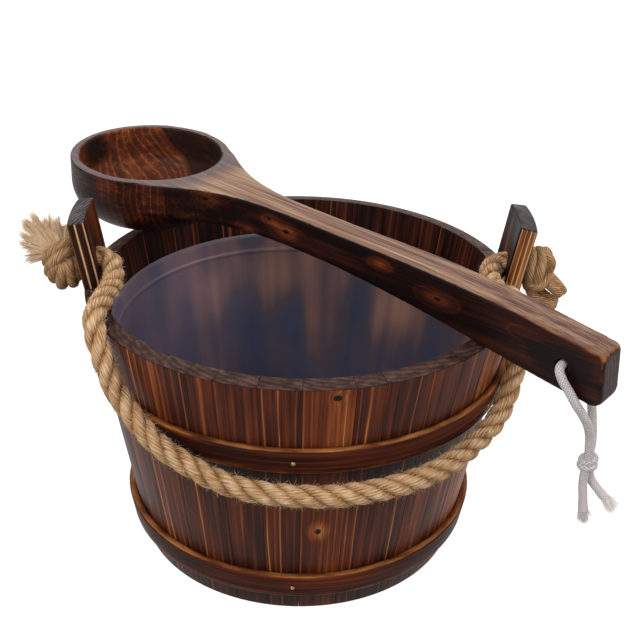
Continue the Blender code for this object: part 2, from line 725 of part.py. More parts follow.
def centre_footprint():
    """Move the model so that the middle of its footprint, soft pieces left out, is the origin."""
    bpy.context.view_layer.update()
    depsgraph = bpy.context.evaluated_depsgraph_get()
    low = Vector((math.inf, math.inf))
    high = Vector((-math.inf, -math.inf))
    for piece in PARTS.objects:
        if piece.type != "MESH" or piece.data.materials[0] in (HEMP, COTTON):
            continue
        shown = piece.evaluated_get(depsgraph)
        for vertex in shown.to_mesh().vertices:
            place = shown.matrix_world @ vertex.co
            low = Vector((min(low.x, place.x), min(low.y, place.y)))
            high = Vector((max(high.x, place.x), max(high.y, place.y)))
        shown.to_mesh_clear()
    middle = (low + high) / 2
    ROOT.location = (-round(middle.x, 4), -round(middle.y, 4), 0.0)
    bpy.context.view_layer.update()


for old in list(bpy.data.objects):
    bpy.data.objects.remove(old, do_unlink=True)

PARTS = collection("sauna_bucket")
CUTTERS = collection("cutters")
CHARRED_WOOD = material("charred_wood", (0.087, 0.026, 0.011), 0.45)
LADLE_WOOD = material("ladle_wood", (0.100, 0.032, 0.014), 0.40)
BRASS = material("brad_brass", (0.60, 0.42, 0.20), 0.35, metallic=1.0)
CLEAR_PLASTIC = material("clear_plastic", (0.60, 0.66, 0.76), 0.20, alpha=0.35)
HEMP = material("hemp_rope", (0.55, 0.37, 0.22), 0.85)
COTTON = material("cotton_cord", (0.60, 0.57, 0.54), 0.90)
ROOT = empty("bucket_axis")

front_staves = add_plain_staves("front", FRONT_STAVES, EAR_HALF_ANGLE - math.pi)
back_staves = add_plain_staves("back", BACK_STAVES, EAR_HALF_ANGLE)
all_staves = front_staves + back_staves + add_ears()
add_bottom_boards()
add_brads("lower", add_hoop("lower_hoop", LOWER_HOOP_HEIGHT), LOWER_HOOP_HEIGHT, LOWER_BRAD_COUNT, all_staves)
add_brads("upper", add_hoop("upper_hoop", UPPER_HOOP_HEIGHT), UPPER_HOOP_HEIGHT, UPPER_BRAD_COUNT, all_staves)
add_liner()
add_rope()
add_rope_knot("left", -1, LEFT_KNOT_HALF, LEFT_KNOT_STAND, LEFT_KNOT_DROP,
              (LEFT_TAIL_DIRECTION, LEFT_TAIL_SEAT, LEFT_TAIL_LENGTH, LEFT_TAIL_SPREAD))
add_rope_knot("right", 1, RIGHT_KNOT_HALF, RIGHT_KNOT_STAND, RIGHT_KNOT_DROP,
              (RIGHT_TAIL_DIRECTION, RIGHT_TAIL_SEAT, RIGHT_TAIL_LENGTH, RIGHT_TAIL_SPREAD))
add_ladle_cord(add_ladle())
centre_footprint()
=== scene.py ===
"""Looks of a coopered sauna bucket: charred staves, wooden hoops, rope bail, plastic liner and ladle.

Lengths are metres and +Z is up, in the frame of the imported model. Each sub-assembly is a class that
holds its sizes, builds its meshes as numpy grids and dresses them; each finish is a frozen dataclass.
"""

import sys
import json
import logging
import math
from dataclasses import dataclass, field
from enum import Enum

import bpy
import numpy as np
from mathutils import Matrix, Vector

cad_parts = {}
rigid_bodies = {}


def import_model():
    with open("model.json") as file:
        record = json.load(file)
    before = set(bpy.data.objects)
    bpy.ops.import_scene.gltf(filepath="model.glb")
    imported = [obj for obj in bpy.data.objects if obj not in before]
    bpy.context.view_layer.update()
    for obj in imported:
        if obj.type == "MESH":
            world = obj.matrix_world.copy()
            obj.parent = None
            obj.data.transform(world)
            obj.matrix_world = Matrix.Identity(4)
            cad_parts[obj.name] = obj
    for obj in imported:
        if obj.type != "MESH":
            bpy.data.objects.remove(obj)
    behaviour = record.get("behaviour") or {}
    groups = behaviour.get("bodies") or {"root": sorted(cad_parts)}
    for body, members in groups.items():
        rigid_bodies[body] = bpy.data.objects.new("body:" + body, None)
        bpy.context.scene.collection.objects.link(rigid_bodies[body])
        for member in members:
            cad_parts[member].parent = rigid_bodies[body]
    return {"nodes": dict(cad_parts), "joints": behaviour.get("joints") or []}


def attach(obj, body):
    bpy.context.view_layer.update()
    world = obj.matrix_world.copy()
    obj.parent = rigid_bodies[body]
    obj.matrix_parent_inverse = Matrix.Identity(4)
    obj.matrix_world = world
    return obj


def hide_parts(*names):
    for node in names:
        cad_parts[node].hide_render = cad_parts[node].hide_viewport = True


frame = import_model()

Array = np.ndarray
Socket = bpy.types.NodeSocket
Material = bpy.types.Material
Object = bpy.types.Object
Point = tuple[float, float, float]

MM = 0.001
FULL_TURN = 2 * math.pi
HAIR_TAPER = 0.7
# An edge that turns by more degrees than this stays sharp, on wood and on rope.
HARD_FORM = 40.0
SOFT_FORM = 60.0
LOG = logging.getLogger("sauna_bucket")


class Side(Enum):
    """The two ears, by the sign of their X."""

    LEFT = -1
    RIGHT = 1


# Meshes


class Skin:
    """Gathers grids of points into one mesh, with a UV map and point attributes."""

    def __init__(self) -> None:
        """Start with nothing gathered."""
        self.points: list[Array] = []
        self.faces: list[list[int]] = []
        self.uvs: list[Array] = []
        self.values: dict[str, list[Array]] = {}
        self.count = 0

    def keep(self, points: Array, values: dict[str, Array]) -> None:
        """Keep a body's points, and its named numbers beside those of the bodies before it."""
        amount = len(points)
        for name in set(values) | set(self.values):
            known = self.values.setdefault(name, [np.zeros(self.count)] if self.count else [])
            known.append(values.get(name, np.zeros(amount)))
        self.points.append(points)
        self.count += amount

    def add_grid(self, points: Array, uv: Array | None = None, **values: Array) -> None:
        """Add a closed body: rows of a grid, each row a closed ring, with its two ends filled.

        Args:
            points: Places, shaped (rows, columns, 3).
            uv: UV of each grid point, shaped (rows, columns + 1, 2), whose last column closes the ring.
            values: Named numbers for each grid point, shaped (rows, columns) or broadcast to that.
        """
        rows, columns = points.shape[:2]
        if uv is None:
            uv = np.zeros((rows, columns + 1, 2))
        index = np.arange(rows * columns).reshape(rows, columns)
        after = np.roll(index, -1, axis=1)
        quads = np.stack([index[:-1], after[:-1], after[1:], index[1:]], axis=-1).reshape(-1, 4)
        corner_uv = np.stack([uv[:-1, :-1], uv[:-1, 1:], uv[1:, 1:], uv[1:, :-1]], axis=2)
        corner_uv = corner_uv.reshape(-1, 4, 2)
        flat = points.reshape(-1, 3)
        a, b, c, d = (flat[quads[:, corner]] - flat.mean(axis=0) for corner in range(4))
        volume = np.einsum("ij,ij->", np.cross(a, b), c) + np.einsum("ij,ij->", np.cross(a, c), d)
        outward = volume >= 0
        if not outward:
            quads = quads[:, ::-1]
            corner_uv = corner_uv[:, ::-1]
        self.faces += (quads + self.count).tolist()
        self.uvs.append(corner_uv.reshape(-1, 2))
        for row, turned in ((0, outward), (rows - 1, not outward)):
            order = slice(None, None, -1) if turned else slice(None)
            self.faces.append((index[row, order] + self.count).tolist())
            self.uvs.append(uv[row, :-1][order])
        self.keep(flat,
                  {name: np.broadcast_to(each, (rows, columns)).ravel() for name, each in values.items()})

    def add_fibres(self, roots: Array, directions: Array, lengths: Array, widths: Array, bends: Array,
                   steps: int = 3, pale: float = 0.0) -> None:
        """Add many thin three-sided hairs, each tapered and bent along a parabola.

        Args:
            roots: Where the hairs start, shaped (n, 3).
            directions: Unit directions that they leave in, shaped (n, 3).
            lengths: Length of each hair.
            widths: Thickness of each hair at its root.
            bends: How far each hair's tip is carried aside, as a vector for each.
            steps: Pieces along a hair.
            pale: How much lighter the hairs are than the middle of a strand.
        """
        count = len(roots)
        share = np.linspace(0.0, 1.0, steps + 1)[None, :, None]
        line = roots[:, None] + directions[:, None] * lengths[:, None, None] * share
        line = line + bends[:, None] * share**2
        helper = np.where(np.abs(directions[:, 2:3]) < 0.8, [[0.0, 0.0, 1.0]], [[1.0, 0.0, 0.0]])
        first = np.cross(directions, helper)
        first /= np.linalg.norm(first, axis=1, keepdims=True)
        second = np.cross(directions, first)
        angle = np.arange(3)[:, None] * FULL_TURN / 3
        ring = first[:, None] * np.cos(angle) + second[:, None] * np.sin(angle)
        radius = widths[:, None, None, None] / 2 * (1.0 - HAIR_TAPER * share[..., None])
        places = line[:, :, None] + ring[:, None] * radius
        index = np.arange(count * (steps + 1) * 3).reshape(count, steps + 1, 3)
        after = np.roll(index, -1, axis=2)
        quads = np.stack([index[:, :-1], after[:, :-1], after[:, 1:], index[:, 1:]], axis=-1).reshape(-1, 4)
        ends = np.concatenate([index[:, 0, ::-1], index[:, -1]])
        shade = np.broadcast_to((np.arange(count) * 0.0071 % 0.31)[:, None, None], places.shape[:3])
        reach = np.broadcast_to((lengths[:, None] * share[..., 0])[..., None], places.shape[:3])
        hair_uv = np.stack([reach, shade], axis=-1).reshape(-1, 2)
        self.faces += (quads + self.count).tolist() + (ends + self.count).tolist()
        self.uvs.append(hair_uv[np.concatenate([quads.ravel(), ends.ravel()])])
        self.keep(places.reshape(-1, 3), {"groove": np.full(places.size // 3, -pale)})

    def build(self, name: str, finish: Material, sharp: float = HARD_FORM) -> Object:
        """Make the mesh and its object at the origin.

        Args:
            name: Name of the piece.
            finish: Its material.
            sharp: Angle in degrees past which an edge stays sharp.

        Returns:
            The new object, linked to the scene.
        """
        mesh = bpy.data.meshes.new(name)
        mesh.from_pydata(np.concatenate(self.points).tolist(), [], self.faces)
        layer = mesh.uv_layers.new(name="grain")
        layer.uv.foreach_set("vector", np.concatenate(self.uvs).astype(np.float32).ravel())
        for key, parts in self.values.items():
            attribute = mesh.attributes.new(key, "FLOAT", "POINT")
            attribute.data.foreach_set("value", np.concatenate(parts).astype(np.float32))
        mesh.materials.append(finish)
        mesh.shade_smooth()
        mesh.set_sharp_from_angle(angle=math.radians(sharp))
        piece = bpy.data.objects.new(name, mesh)
        bpy.context.scene.collection.objects.link(piece)
        return piece


def paired(first: Array, second: Array) -> Array:
    """Two arrays side by side in a new last axis, each broadcast to the other."""
    return np.stack(np.broadcast_arrays(first, second), axis=-1)


def once_round(count: int) -> Array:
    """Angles that go once round, without the last, which is the first again."""
    return np.linspace(0.0, FULL_TURN, count, endpoint=False)


def points_of(mesh: bpy.types.Mesh) -> Array:
    """The places of a mesh's points, shaped (n, 3)."""
    places = np.empty(len(mesh.vertices) * 3)
    mesh.vertices.foreach_get("co", places)
    return places.reshape(-1, 3)


def dress(part_of_name: str, finish: Material) -> None:
    """Give a finish to the CAD nodes whose names hold a word, which keep their own solids."""
    for name, node in frame["nodes"].items():
        if part_of_name in name:
            for slot in node.material_slots:
                slot.material = finish


def settle(piece: Object) -> None:
    """Apply a piece's modifiers to its mesh."""
    graph = bpy.context.evaluated_depsgraph_get()
    mesh = bpy.data.meshes.new_from_object(piece.evaluated_get(graph), depsgraph=graph)
    piece.modifiers.clear()
    old = piece.data
    piece.data = mesh
    bpy.data.meshes.remove(old)
    mesh.name = piece.name


def cut_or_join(piece: Object, other: Object, operation: str) -> None:
    """Cut a piece with another closed mesh, or join it on, and remove the other."""
    modifier = piece.modifiers.new(operation.lower(), "BOOLEAN")
    modifier.operation = operation
    modifier.solver = "EXACT"
    modifier.object = other
    settle(piece)
    bpy.data.objects.remove(other, do_unlink=True)


def place_on(piece: Object, body: str, slot: str, *nodes: str) -> Object:
    """Ride a finished piece on its body and hide the CAD nodes that it stands for."""
    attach(piece, body)
    if nodes:
        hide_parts(*nodes)
    LOG.info("%s: %d faces, on %s", piece.name, len(piece.data.polygons), body)
    return piece


def rounded(corners: list[tuple[float, float, float]], steps: int = 4) -> Array:
    """A closed outline whose corners are arcs.

    Args:
        corners: Each corner's two coordinates and its radius, in order round the outline.
        steps: Pieces in each arc.

    Returns:
        The outline's points, shaped (n, 2). Each arc is a quadratic curve that touches both edges.
    """
    places = np.array([corner[:2] for corner in corners])
    radii = np.array([corner[2] for corner in corners])
    back = np.roll(places, 1, axis=0) - places
    ahead = np.roll(places, -1, axis=0) - places
    back /= np.linalg.norm(back, axis=1, keepdims=True)
    ahead /= np.linalg.norm(ahead, axis=1, keepdims=True)
    start = (places + back * radii[:, None])[:, None]
    end = (places + ahead * radii[:, None])[:, None]
    t = np.linspace(0.0, 1.0, steps + 1)[None, :, None]
    return (start * (1 - t) ** 2 + 2 * places[:, None] * t * (1 - t) + end * t**2).reshape(-1, 2)


def inward(outline: Array) -> Array:
    """The vector at each point of a closed outline that moves it inwards by one unit of offset."""
    ahead = np.roll(outline, -1, axis=0) - outline
    ahead /= np.maximum(np.linalg.norm(ahead, axis=1, keepdims=True), 1e-12)
    x, y = outline.T
    turn = np.sign(np.sum(x * np.roll(y, -1) - np.roll(x, -1) * y))
    after = np.stack([-ahead[:, 1], ahead[:, 0]], axis=1) * turn
    before = np.roll(after, 1, axis=0)
    return (after + before) / np.maximum(1 + np.sum(after * before, axis=1, keepdims=True), 0.3)


def travelled(points: Array) -> Array:
    """How far each point of a line is from its start, measured along it."""
    return np.concatenate([[0.0], np.cumsum(np.linalg.norm(np.diff(points, axis=0), axis=1))])


def smooth_path(points: Array, spacing: float) -> Array:
    """Evenly spaced points on the Catmull-Rom curve through a route's points."""
    padded = np.concatenate([points[:1], points, points[-1:]])
    before, start, end, after = (padded[shift : shift + len(points) - 1, None] for shift in range(4))
    t = np.linspace(0.0, 1.0, 16, endpoint=False)[None, :, None]
    curve = (2 * start + (end - before) * t + (2 * before - 5 * start + 4 * end - after) * t**2
             + (3 * start - before - 3 * end + after) * t**3) / 2
    fine = np.concatenate([curve.reshape(-1, 3), points[-1:]])
    far = travelled(fine)
    wanted = np.linspace(0.0, far[-1], max(3, round(far[-1] / spacing) + 1))
    return np.stack([np.interp(wanted, far, fine[:, axis]) for axis in range(3)], axis=1)


def path_frames(path: Array) -> tuple[Array, Array, Array]:
    """Along, and two unit vectors square to a path at each point, carried along it without twist."""
    along = np.gradient(path, axis=0)
    along /= np.linalg.norm(along, axis=1, keepdims=True)
    side = np.cross(along[0], [0.0, 0.0, 1.0] if abs(along[0, 2]) < 0.8 else [1.0, 0.0, 0.0])
    sides = []
    for direction in along:
        side = side - direction * np.dot(side, direction)
        side = side / np.linalg.norm(side)
        sides.append(side)
    first = np.array(sides)
    return along, first, np.cross(along, first)


# Materials


def linear(text: str) -> tuple[float, float, float, float]:
    """A linear RGBA colour from an sRGB hex value."""
    parts = [int(text[index : index + 2], 16) / 255 for index in (1, 3, 5)]
    red, green, blue = (p / 12.92 if p <= 0.04045 else ((p + 0.055) / 1.055) ** 2.4 for p in parts)
    return red, green, blue, 1.0


class Graph:
    """A node tree with short ways to add its nodes; for a material also its Principled shader."""

    def __init__(self, owner: Material | bpy.types.World) -> None:
        """Take over the node tree of a material or a world."""
        owner.use_nodes = True
        self.owner = owner
        self.tree = owner.node_tree
        self.shader = self.tree.nodes.get("Principled BSDF")

    def add(self, kind: str, inputs: dict, out: int | str = 0, ramp: tuple = (),
            **settings: object) -> Socket:
        """Add a node with its settings and links.

        Args:
            kind: Type of node, without its ShaderNode prefix.
            inputs: Values or sockets for its inputs, by name or number.
            out: Which output to give back.
            ramp: Stops of a colour ramp, each a place and an sRGB hex value.
            settings: Properties of the node.

        Returns:
            The node's output socket.
        """
        made = self.tree.nodes.new("ShaderNode" + kind)
        for key, value in settings.items():
            setattr(made, key, value)
        for key, value in inputs.items():
            if isinstance(value, Socket):
                self.tree.links.new(value, made.inputs[key])
            else:
                made.inputs[key].default_value = value
        for number, (place, colour) in enumerate(ramp):
            stops = made.color_ramp.elements
            stop = stops[number] if number < len(stops) else stops.new(place)
            stop.position = place
            stop.color = linear(colour)
        return made.outputs[out]

    def math(self, operation: str, *terms: Socket | float) -> Socket:
        """A number worked out from others by one operation."""
        return self.add("Math", dict(enumerate(terms)), operation=operation)

    def times_plus(self, value: Socket | float, factor: Socket | float, base: Socket | float) -> Socket:
        """The value times the factor, plus the base."""
        return self.math("MULTIPLY_ADD", value, factor, base)

    def vector(self, operation: str, *terms: Socket | Vector | Point) -> Socket:
        """A vector worked out from others by one operation."""
        return self.add("VectorMath", dict(enumerate(terms)), operation=operation)

    def dot(self, first: Socket, second: Socket | Vector | Point) -> Socket:
        """The dot product of two vectors."""
        return self.add("VectorMath", {0: first, 1: second}, out="Value", operation="DOT_PRODUCT")

    def ranged(self, value: Socket, low: float, high: float, start: Socket | float = 0.0,
               end: Socket | float = 1.0, **settings: object) -> Socket:
        """A number that runs from start to end while the value runs from low to high."""
        return self.add("MapRange", dict(enumerate((value, low, high, start, end))), **settings)

    def eased(self, value: Socket, low: float, high: float, start: float = 0.0, end: float = 1.0) -> Socket:
        """The same as ranged, with a soft start and end."""
        return self.ranged(value, low, high, start, end, interpolation_type="SMOOTHSTEP")

    def over(self, share: Socket, under: Socket, colour: Socket | tuple) -> Socket:
        """A colour with another laid over it by a share."""
        return self.add("Mix", {0: share, 6: under, 7: colour}, out=2, data_type="RGBA")

    def noise(self, place: Socket, across: float, along: float, detail: float = 2.0) -> Socket:
        """Noise whose lumps have the given real size across and along the grain."""
        scaled = self.vector("MULTIPLY", place, (1 / across, 1 / along, 1 / across))
        return self.add("TexNoise", {"Vector": scaled, "Scale": 1.0, "Detail": detail, "Roughness": 0.55})

    def mix(self, share: Socket | float, low: Socket | float, high: Socket | float) -> Socket:
        """A number that runs from low to high with the share."""
        return self.add("Mix", {0: share, 2: low, 3: high}, data_type="FLOAT")

    def attribute(self, name: str) -> Socket:
        """A named number of the mesh's points."""
        return self.add("Attribute", {}, out="Fac", attribute_name=name)

    def coordinate(self, kind: str) -> Socket:
        """A texture coordinate: Object for the place in metres, Normal for the way the surface faces."""
        return self.add("TexCoord", {}, out=kind)

    def axes(self, vector: Socket) -> bpy.types.bpy_prop_collection:
        """The X, Y and Z of a vector."""
        return self.add("SeparateXYZ", {0: vector}).node.outputs

    def shade(self, **inputs: object) -> Material:
        """Set or link inputs of the Principled shader; an underscore stands for a space."""
        for key, value in inputs.items():
            socket = self.shader.inputs[key.replace("_", " ")]
            if isinstance(value, Socket):
                self.tree.links.new(value, socket)
            else:
                socket.default_value = value
        return self.owner


@dataclass(frozen=True)
class Mark:
    """A place in the wood where it changes: a knot with its dark heart, or a patch burnt or left pale.

    The figure is `stretch` times longer along the grain than across, and `glow` lightens it, or
    darkens it where that is below nought. The year lines bend round a knot by `swirl` rings.
    """

    place: Point
    size: float
    heart: float = 0.0
    glow: float = 0.3
    swirl: float = 1.3
    stretch: float = 1.6


@dataclass(frozen=True)
class CharredSpruce:
    """Spruce, flame charred, wire brushed and oiled satin: the soft wood burns to dark bands, and the
    hard late wood of each year stays as narrow orange lines that stand a little proud."""

    name: str
    ring: float = 5.6 * MM
    drift: float = 1.8 * MM
    fibre: float = 1.0 * MM
    contrast: float = 0.66
    light: float = 0.0
    even: float = 0.0
    edge_light: float = 0.0
    edge_contrast: float = 0.0
    gloss: float = 0.10
    roughness: float = 0.46
    relief: float = 0.12 * MM
    grain: Point = (0.0, 0.0, 1.0)
    shades: tuple[str, ...] = ("#150908", "#391911", "#632d19", "#995228", "#ca8a54")
    sawn: tuple[str, ...] = ("#20150f", "#3f2a25", "#5d443e", "#7d5f56", "#a07865")
    years: Point = (0.25, 1.0, 0.0)
    year: float = 1.7 * MM
    year_contrast: float = 0.30
    arris: float = 0.0
    hub: Point = (0.0, 0.0, 0.0)
    hoop_shadow_heights: tuple[float, ...] = ()
    marks: tuple[Mark, ...] = ()
    worn: bool = False
    turned: Matrix | None = None
    bowl: Vector | None = None
    band: tuple[float, float] = (0.0, 0.0)
    plank: bool = False
    bend_size: tuple[float, float] = (28 * MM, 85 * MM)
    crowd_size: tuple[float, float] = (24 * MM, 2.0)
    crowding: float = 3.6
    scarce: float = 2.2
    faintest: float = 0.16
    even_strength: float = 0.85
    streak_size: tuple[float, float] = (3.2 * MM, 140 * MM)
    zone_size: tuple[float, float] = (13 * MM, 90 * MM)
    pattern_shares: tuple[float, float, float] = (0.58, 0.50, 0.84)
    pattern_mean: float = 0.70
    line_relief: float = 0.7
    heart_relief: float = -1.5
    heart_colour: str = "#120b09"
    arris_colour: str = "#140d0b"
    top_sheen_grey: str = "#80787a"
    hollow_sheen_colour: str = "#8a6a58"
    bowl_edge: tuple[float, float] = (44 * MM, 66 * MM)
    bowl_even: float = 0.55
    bowl_year: float = 4.3 * MM
    hoop_shadow_reach: tuple[float, float] = (3 * MM, 17 * MM)
    shade_stops: tuple[float, ...] = (0.0, 0.25, 0.50, 0.78, 1.0)
    sawn_stops: tuple[float, ...] = (0.20, 0.42, 0.60, 0.80, 1.0)
    sawn_facing: tuple[float, float] = (0.62, 0.86)
    sawn_level: float = -0.22
    sway: float = 3.0
    sway_size: float = 14 * MM
    grit_size: float = 0.8 * MM
    grit_share: float = 0.45
    patch_size: tuple[float, float] = (9 * MM, 6 * MM)
    patch_share: float = 0.75
    hollow_facing: tuple[float, float] = (-9 * MM, -5 * MM)
    wander_size: float = 34 * MM
    wander: float = 9 * MM

    def place(self, graph: Graph) -> Socket:
        """Where a point lies in the wood, as (across the rings, along the grain, depth) in metres."""
        if self.turned is None and not self.plank:
            return graph.add("UVMap", {}, uv_map="grain")
        where = graph.coordinate("Object")
        if self.turned is not None:
            centre, turn = self.turned.to_translation(), self.turned.to_euler()
            where = graph.add("Mapping", {0: where, 1: centre, 2: turn}, vector_type="TEXTURE")
            axes = graph.axes(where)
            return graph.add("CombineXYZ", {0: axes[1], 1: axes[0], 2: axes[2]})
        return where

    def marked(self, graph: Graph) -> tuple[Socket, Socket, Socket]:
        """Sum the marks: how far they bend the rings, how much they lighten, and their dark hearts."""
        where = graph.coordinate("Object")
        swirl: Socket | float = 0.0
        glow: Socket | float = 0.0
        hearts: Socket | float = 0.0
        for mark in self.marks:
            away = graph.vector("SUBTRACT", where, mark.place)
            run = graph.dot(away, self.grain)
            run = graph.math("MULTIPLY", run, 1.0 - 1.0 / mark.stretch)
            part = graph.add("VectorMath", {0: self.grain, "Scale": run}, operation="SCALE")
            gap = graph.add("VectorMath", {0: away, 1: part}, out="Value", operation="DISTANCE")
            halo = graph.eased(gap, mark.heart, mark.size, 1.0, 0.0)
            swirl = graph.times_plus(halo, mark.swirl, swirl)
            glow = graph.times_plus(halo, mark.glow, glow)
            if mark.heart:
                heart = graph.eased(gap, mark.heart * 0.7, mark.heart * 1.2, 1.0, 0.0)
                hearts = graph.math("MAXIMUM", heart, hearts)
        return swirl, glow, hearts

    def build(self) -> Material:
        """Make the material.

        Returns:
            The finished material.
        """
        graph = Graph(bpy.data.materials.new(self.name))
        place = self.place(graph)
        axes = graph.axes(place)
        bend = graph.noise(place, *self.bend_size, 1.0)
        bend = graph.times_plus(bend, 2 * self.drift, axes[0])
        crowd = graph.noise(place, *self.crowd_size, 0.0)
        ring = graph.math("DIVIDE", bend, self.ring)
        ring = graph.times_plus(crowd, self.crowding, ring)
        glow: Socket | float = 0.0
        hearts: Socket | None = None
        if self.marks:
            swirl, glow, hearts = self.marked(graph)
            ring = graph.math("ADD", swirl, ring)
        inside: Socket | None = None
        hollow: Socket | None = None
        even: Socket | float = self.even
        weight: Socket | float = self.contrast
        if self.bowl is not None:
            inside = graph.eased(axes[1], *self.bowl_edge, 1.0, 0.0)
            hollow = self.hollow(graph)
            ring, glow, weight = self.across_bowl(graph, inside, hollow, ring, swirl, glow)
            even = graph.math("MULTIPLY", inside, self.bowl_even)
        year = graph.math("FLOOR", ring)
        part = graph.math("SUBTRACT", ring, year)
        strength = graph.add("TexWhiteNoise", {"W": year}, noise_dimensions="1D")
        strength = graph.math("POWER", strength, self.scarce)
        strength = graph.ranged(strength, 0.0, 1.0, self.faintest, 1.0)
        strength = graph.mix(even, strength, self.even_strength)
        line = graph.add("ValToRGB", {0: part}, ramp=(
            (0.0, "#909090"), (0.14, "#404040"), (0.42, "#242424"), (0.72, "#606060"), (0.90, "#ffffff"),
            (1.0, "#909090")))
        line = graph.math("MULTIPLY", line, strength)
        fibre = graph.noise(place, self.fibre, 60 * MM, 3.0)
        streak = graph.noise(place, *self.streak_size, 1.0)
        zone = graph.noise(place, *self.zone_size)
        edge: Socket | float = 0.0
        if self.edge_contrast:
            edge = graph.axes(graph.coordinate("Normal"))[1]
            edge = graph.math("ABSOLUTE", edge)
            edge = graph.ranged(edge, 0.72, 0.9)
            weight = graph.mix(edge, weight, self.edge_contrast)
        total = graph.times_plus(line, weight, self.light - self.pattern_mean)
        for pattern, share in zip((fibre, streak, zone), self.pattern_shares):
            total = graph.times_plus(pattern, share, total)
        tone = graph.attribute("tone")
        total = graph.math("ADD", tone, total)
        total = graph.math("ADD", total, glow)
        total = graph.times_plus(edge, self.edge_light, total)
        total = self.painted_shade(graph, total)
        colour = graph.add("ValToRGB", {0: total}, ramp=tuple(zip(self.shade_stops, self.shades)))
        relief = graph.times_plus(line, self.line_relief, fibre)
        if hearts is not None:
            colour = graph.over(hearts, colour, linear(self.heart_colour))
            relief = graph.times_plus(hearts, self.heart_relief, relief)
        colour, relief = self.end_grain(graph, place, colour, relief, inside)
        if inside is not None:
            colour = self.painted_top_sheen(graph, place, inside, hollow, colour)
        if self.worn:
            colour = self.wear(graph, place, colour)
        bump = graph.add("Bump", {"Strength": 1.0, "Distance": self.relief, "Height": relief})
        rough = graph.ranged(fibre, 0.3, 0.7, self.roughness + 0.10, self.roughness - 0.08)
        return graph.shade(Base_Color=colour, Roughness=rough, Normal=bump, Specular_IOR_Level=self.gloss)

    def hollow(self, graph: Graph) -> Socket:
        """1 in the hollow of the bowl, whose faces look back at the middle of its rim."""
        where = graph.add("TexCoord", {}).node.outputs
        away = graph.vector("SUBTRACT", where["Object"], self.turned.to_translation())
        facing = graph.dot(away, where["Normal"])
        return graph.ranged(facing, *self.hollow_facing, 1.0, 0.0)

    def across_bowl(self, graph: Graph, inside: Socket, hollow: Socket, ring: Socket, swirl: Socket,
                    glow: Socket) -> tuple[Socket, Socket, Socket]:
        """Turn the years across the bowl, where they cut it in upright arcs, and lighten a band of them.

        In the hollow the arcs lean: they move aside by 0.55 of the depth at the band's far edge.
        """
        where = graph.coordinate("Object")
        sweep = graph.dot(where, self.bowl)
        wander = graph.noise(where, self.wander_size, self.wander_size, 1.0)
        sweep = graph.times_plus(wander, self.wander, sweep)
        deep = graph.axes(self.place(graph))[2]
        deep = graph.math("MULTIPLY", deep, hollow)
        lean = graph.ranged(sweep, self.band[0] + 12 * MM, self.band[1], 0.0, 0.55)
        sweep = graph.times_plus(lean, deep, sweep)
        begun = graph.times_plus(hollow, 20 * MM, sweep)
        start, end = (graph.eased(value, edge - soft, edge + soft) for value, edge, soft in
                      ((begun, self.band[0] + 4.5 * MM, 2 * MM), (sweep, self.band[1] + 4.5 * MM, 3 * MM)))
        lit = graph.math("SUBTRACT", start, end)
        weight = graph.mix(lit, 0.14, 0.42)
        height = graph.mix(hollow, 0.24, 0.51)
        lit = graph.times_plus(lit, height, -0.04)
        lit = graph.times_plus(lit, inside, glow)
        turned = graph.times_plus(sweep, 1 / self.bowl_year, swirl)
        turned = graph.times_plus(wander, 0.9, turned)
        return graph.mix(inside, ring, turned), lit, graph.mix(inside, self.contrast, weight)

    def painted_shade(self, graph: Graph, total: Socket) -> Socket:
        """Paint shade: darken a band at each height where a hoop's shadow falls under it, and all the lower
        wall.
        """
        up = graph.axes(graph.coordinate("Object"))[2]
        if self.hoop_shadow_heights:
            # Painted shade: the wall darkens towards its foot.
            low = graph.ranged(up, 20 * MM, 112 * MM, -0.08, 0.0)
            total = graph.math("ADD", total, low)
        # Painted shadow: a dark band round the lower edge of each hoop.
        for height in self.hoop_shadow_heights:
            away = graph.math("SUBTRACT", up, height)
            away = graph.math("ABSOLUTE", away)
            band = graph.ranged(away, *self.hoop_shadow_reach, -0.30, 0.0)
            total = graph.math("ADD", total, band)
        return total

    def end_grain(self, graph: Graph, place: Socket, colour: Socket, relief: Socket,
                  inside: Socket | None) -> tuple[Socket, Socket]:
        """Mix in sawn end grain where the surface faces along the grain: darker, with fine year lines."""
        normal = graph.coordinate("Normal")
        facing = graph.dot(normal, self.grain)
        facing = graph.math("ABSOLUTE", facing)
        share = graph.ranged(facing, *self.sawn_facing)
        if inside is not None:
            far = graph.math("SUBTRACT", 1.0, inside)
            share = graph.math("MULTIPLY", share, far)
        slanted = graph.dot(place, self.years)
        sway = graph.noise(place, self.sway_size, self.sway_size, 1.0)
        wave = graph.math("MULTIPLY", slanted, 1 / self.year)
        wave = graph.times_plus(sway, self.sway, wave)
        wave = graph.math("PINGPONG", wave, 1.0)
        grit = graph.noise(place, self.grit_size, self.grit_size, 3.0)
        patch = graph.noise(place, *self.patch_size)
        level = graph.times_plus(wave, self.year_contrast, self.sawn_level)
        level = graph.times_plus(grit, self.grit_share, level)
        level = graph.times_plus(patch, self.patch_share, level)
        sawn = graph.add("ValToRGB", {0: level}, ramp=tuple(zip(self.sawn_stops, self.sawn)))
        colour = graph.over(share, colour, sawn)
        if self.arris:
            rise = graph.ranged(facing, 0.30, 0.55, 0.0, self.arris)
            fall = graph.ranged(facing, 0.80, 0.97, 0.0, self.arris)
            line = graph.math("SUBTRACT", rise, fall)
            outward = graph.coordinate("Object")
            outward = graph.vector("SUBTRACT", outward, self.hub)
            outward = graph.vector("MULTIPLY", outward, (1.0, 1.0, 0.0))
            outward = graph.vector("NORMALIZE", outward)
            outward = graph.dot(outward, normal)
            outward = graph.ranged(outward, 0.30, 0.60)
            line = graph.math("MULTIPLY", line, outward)
            colour = graph.over(line, colour, linear(self.arris_colour))
        return colour, graph.mix(share, relief, level)

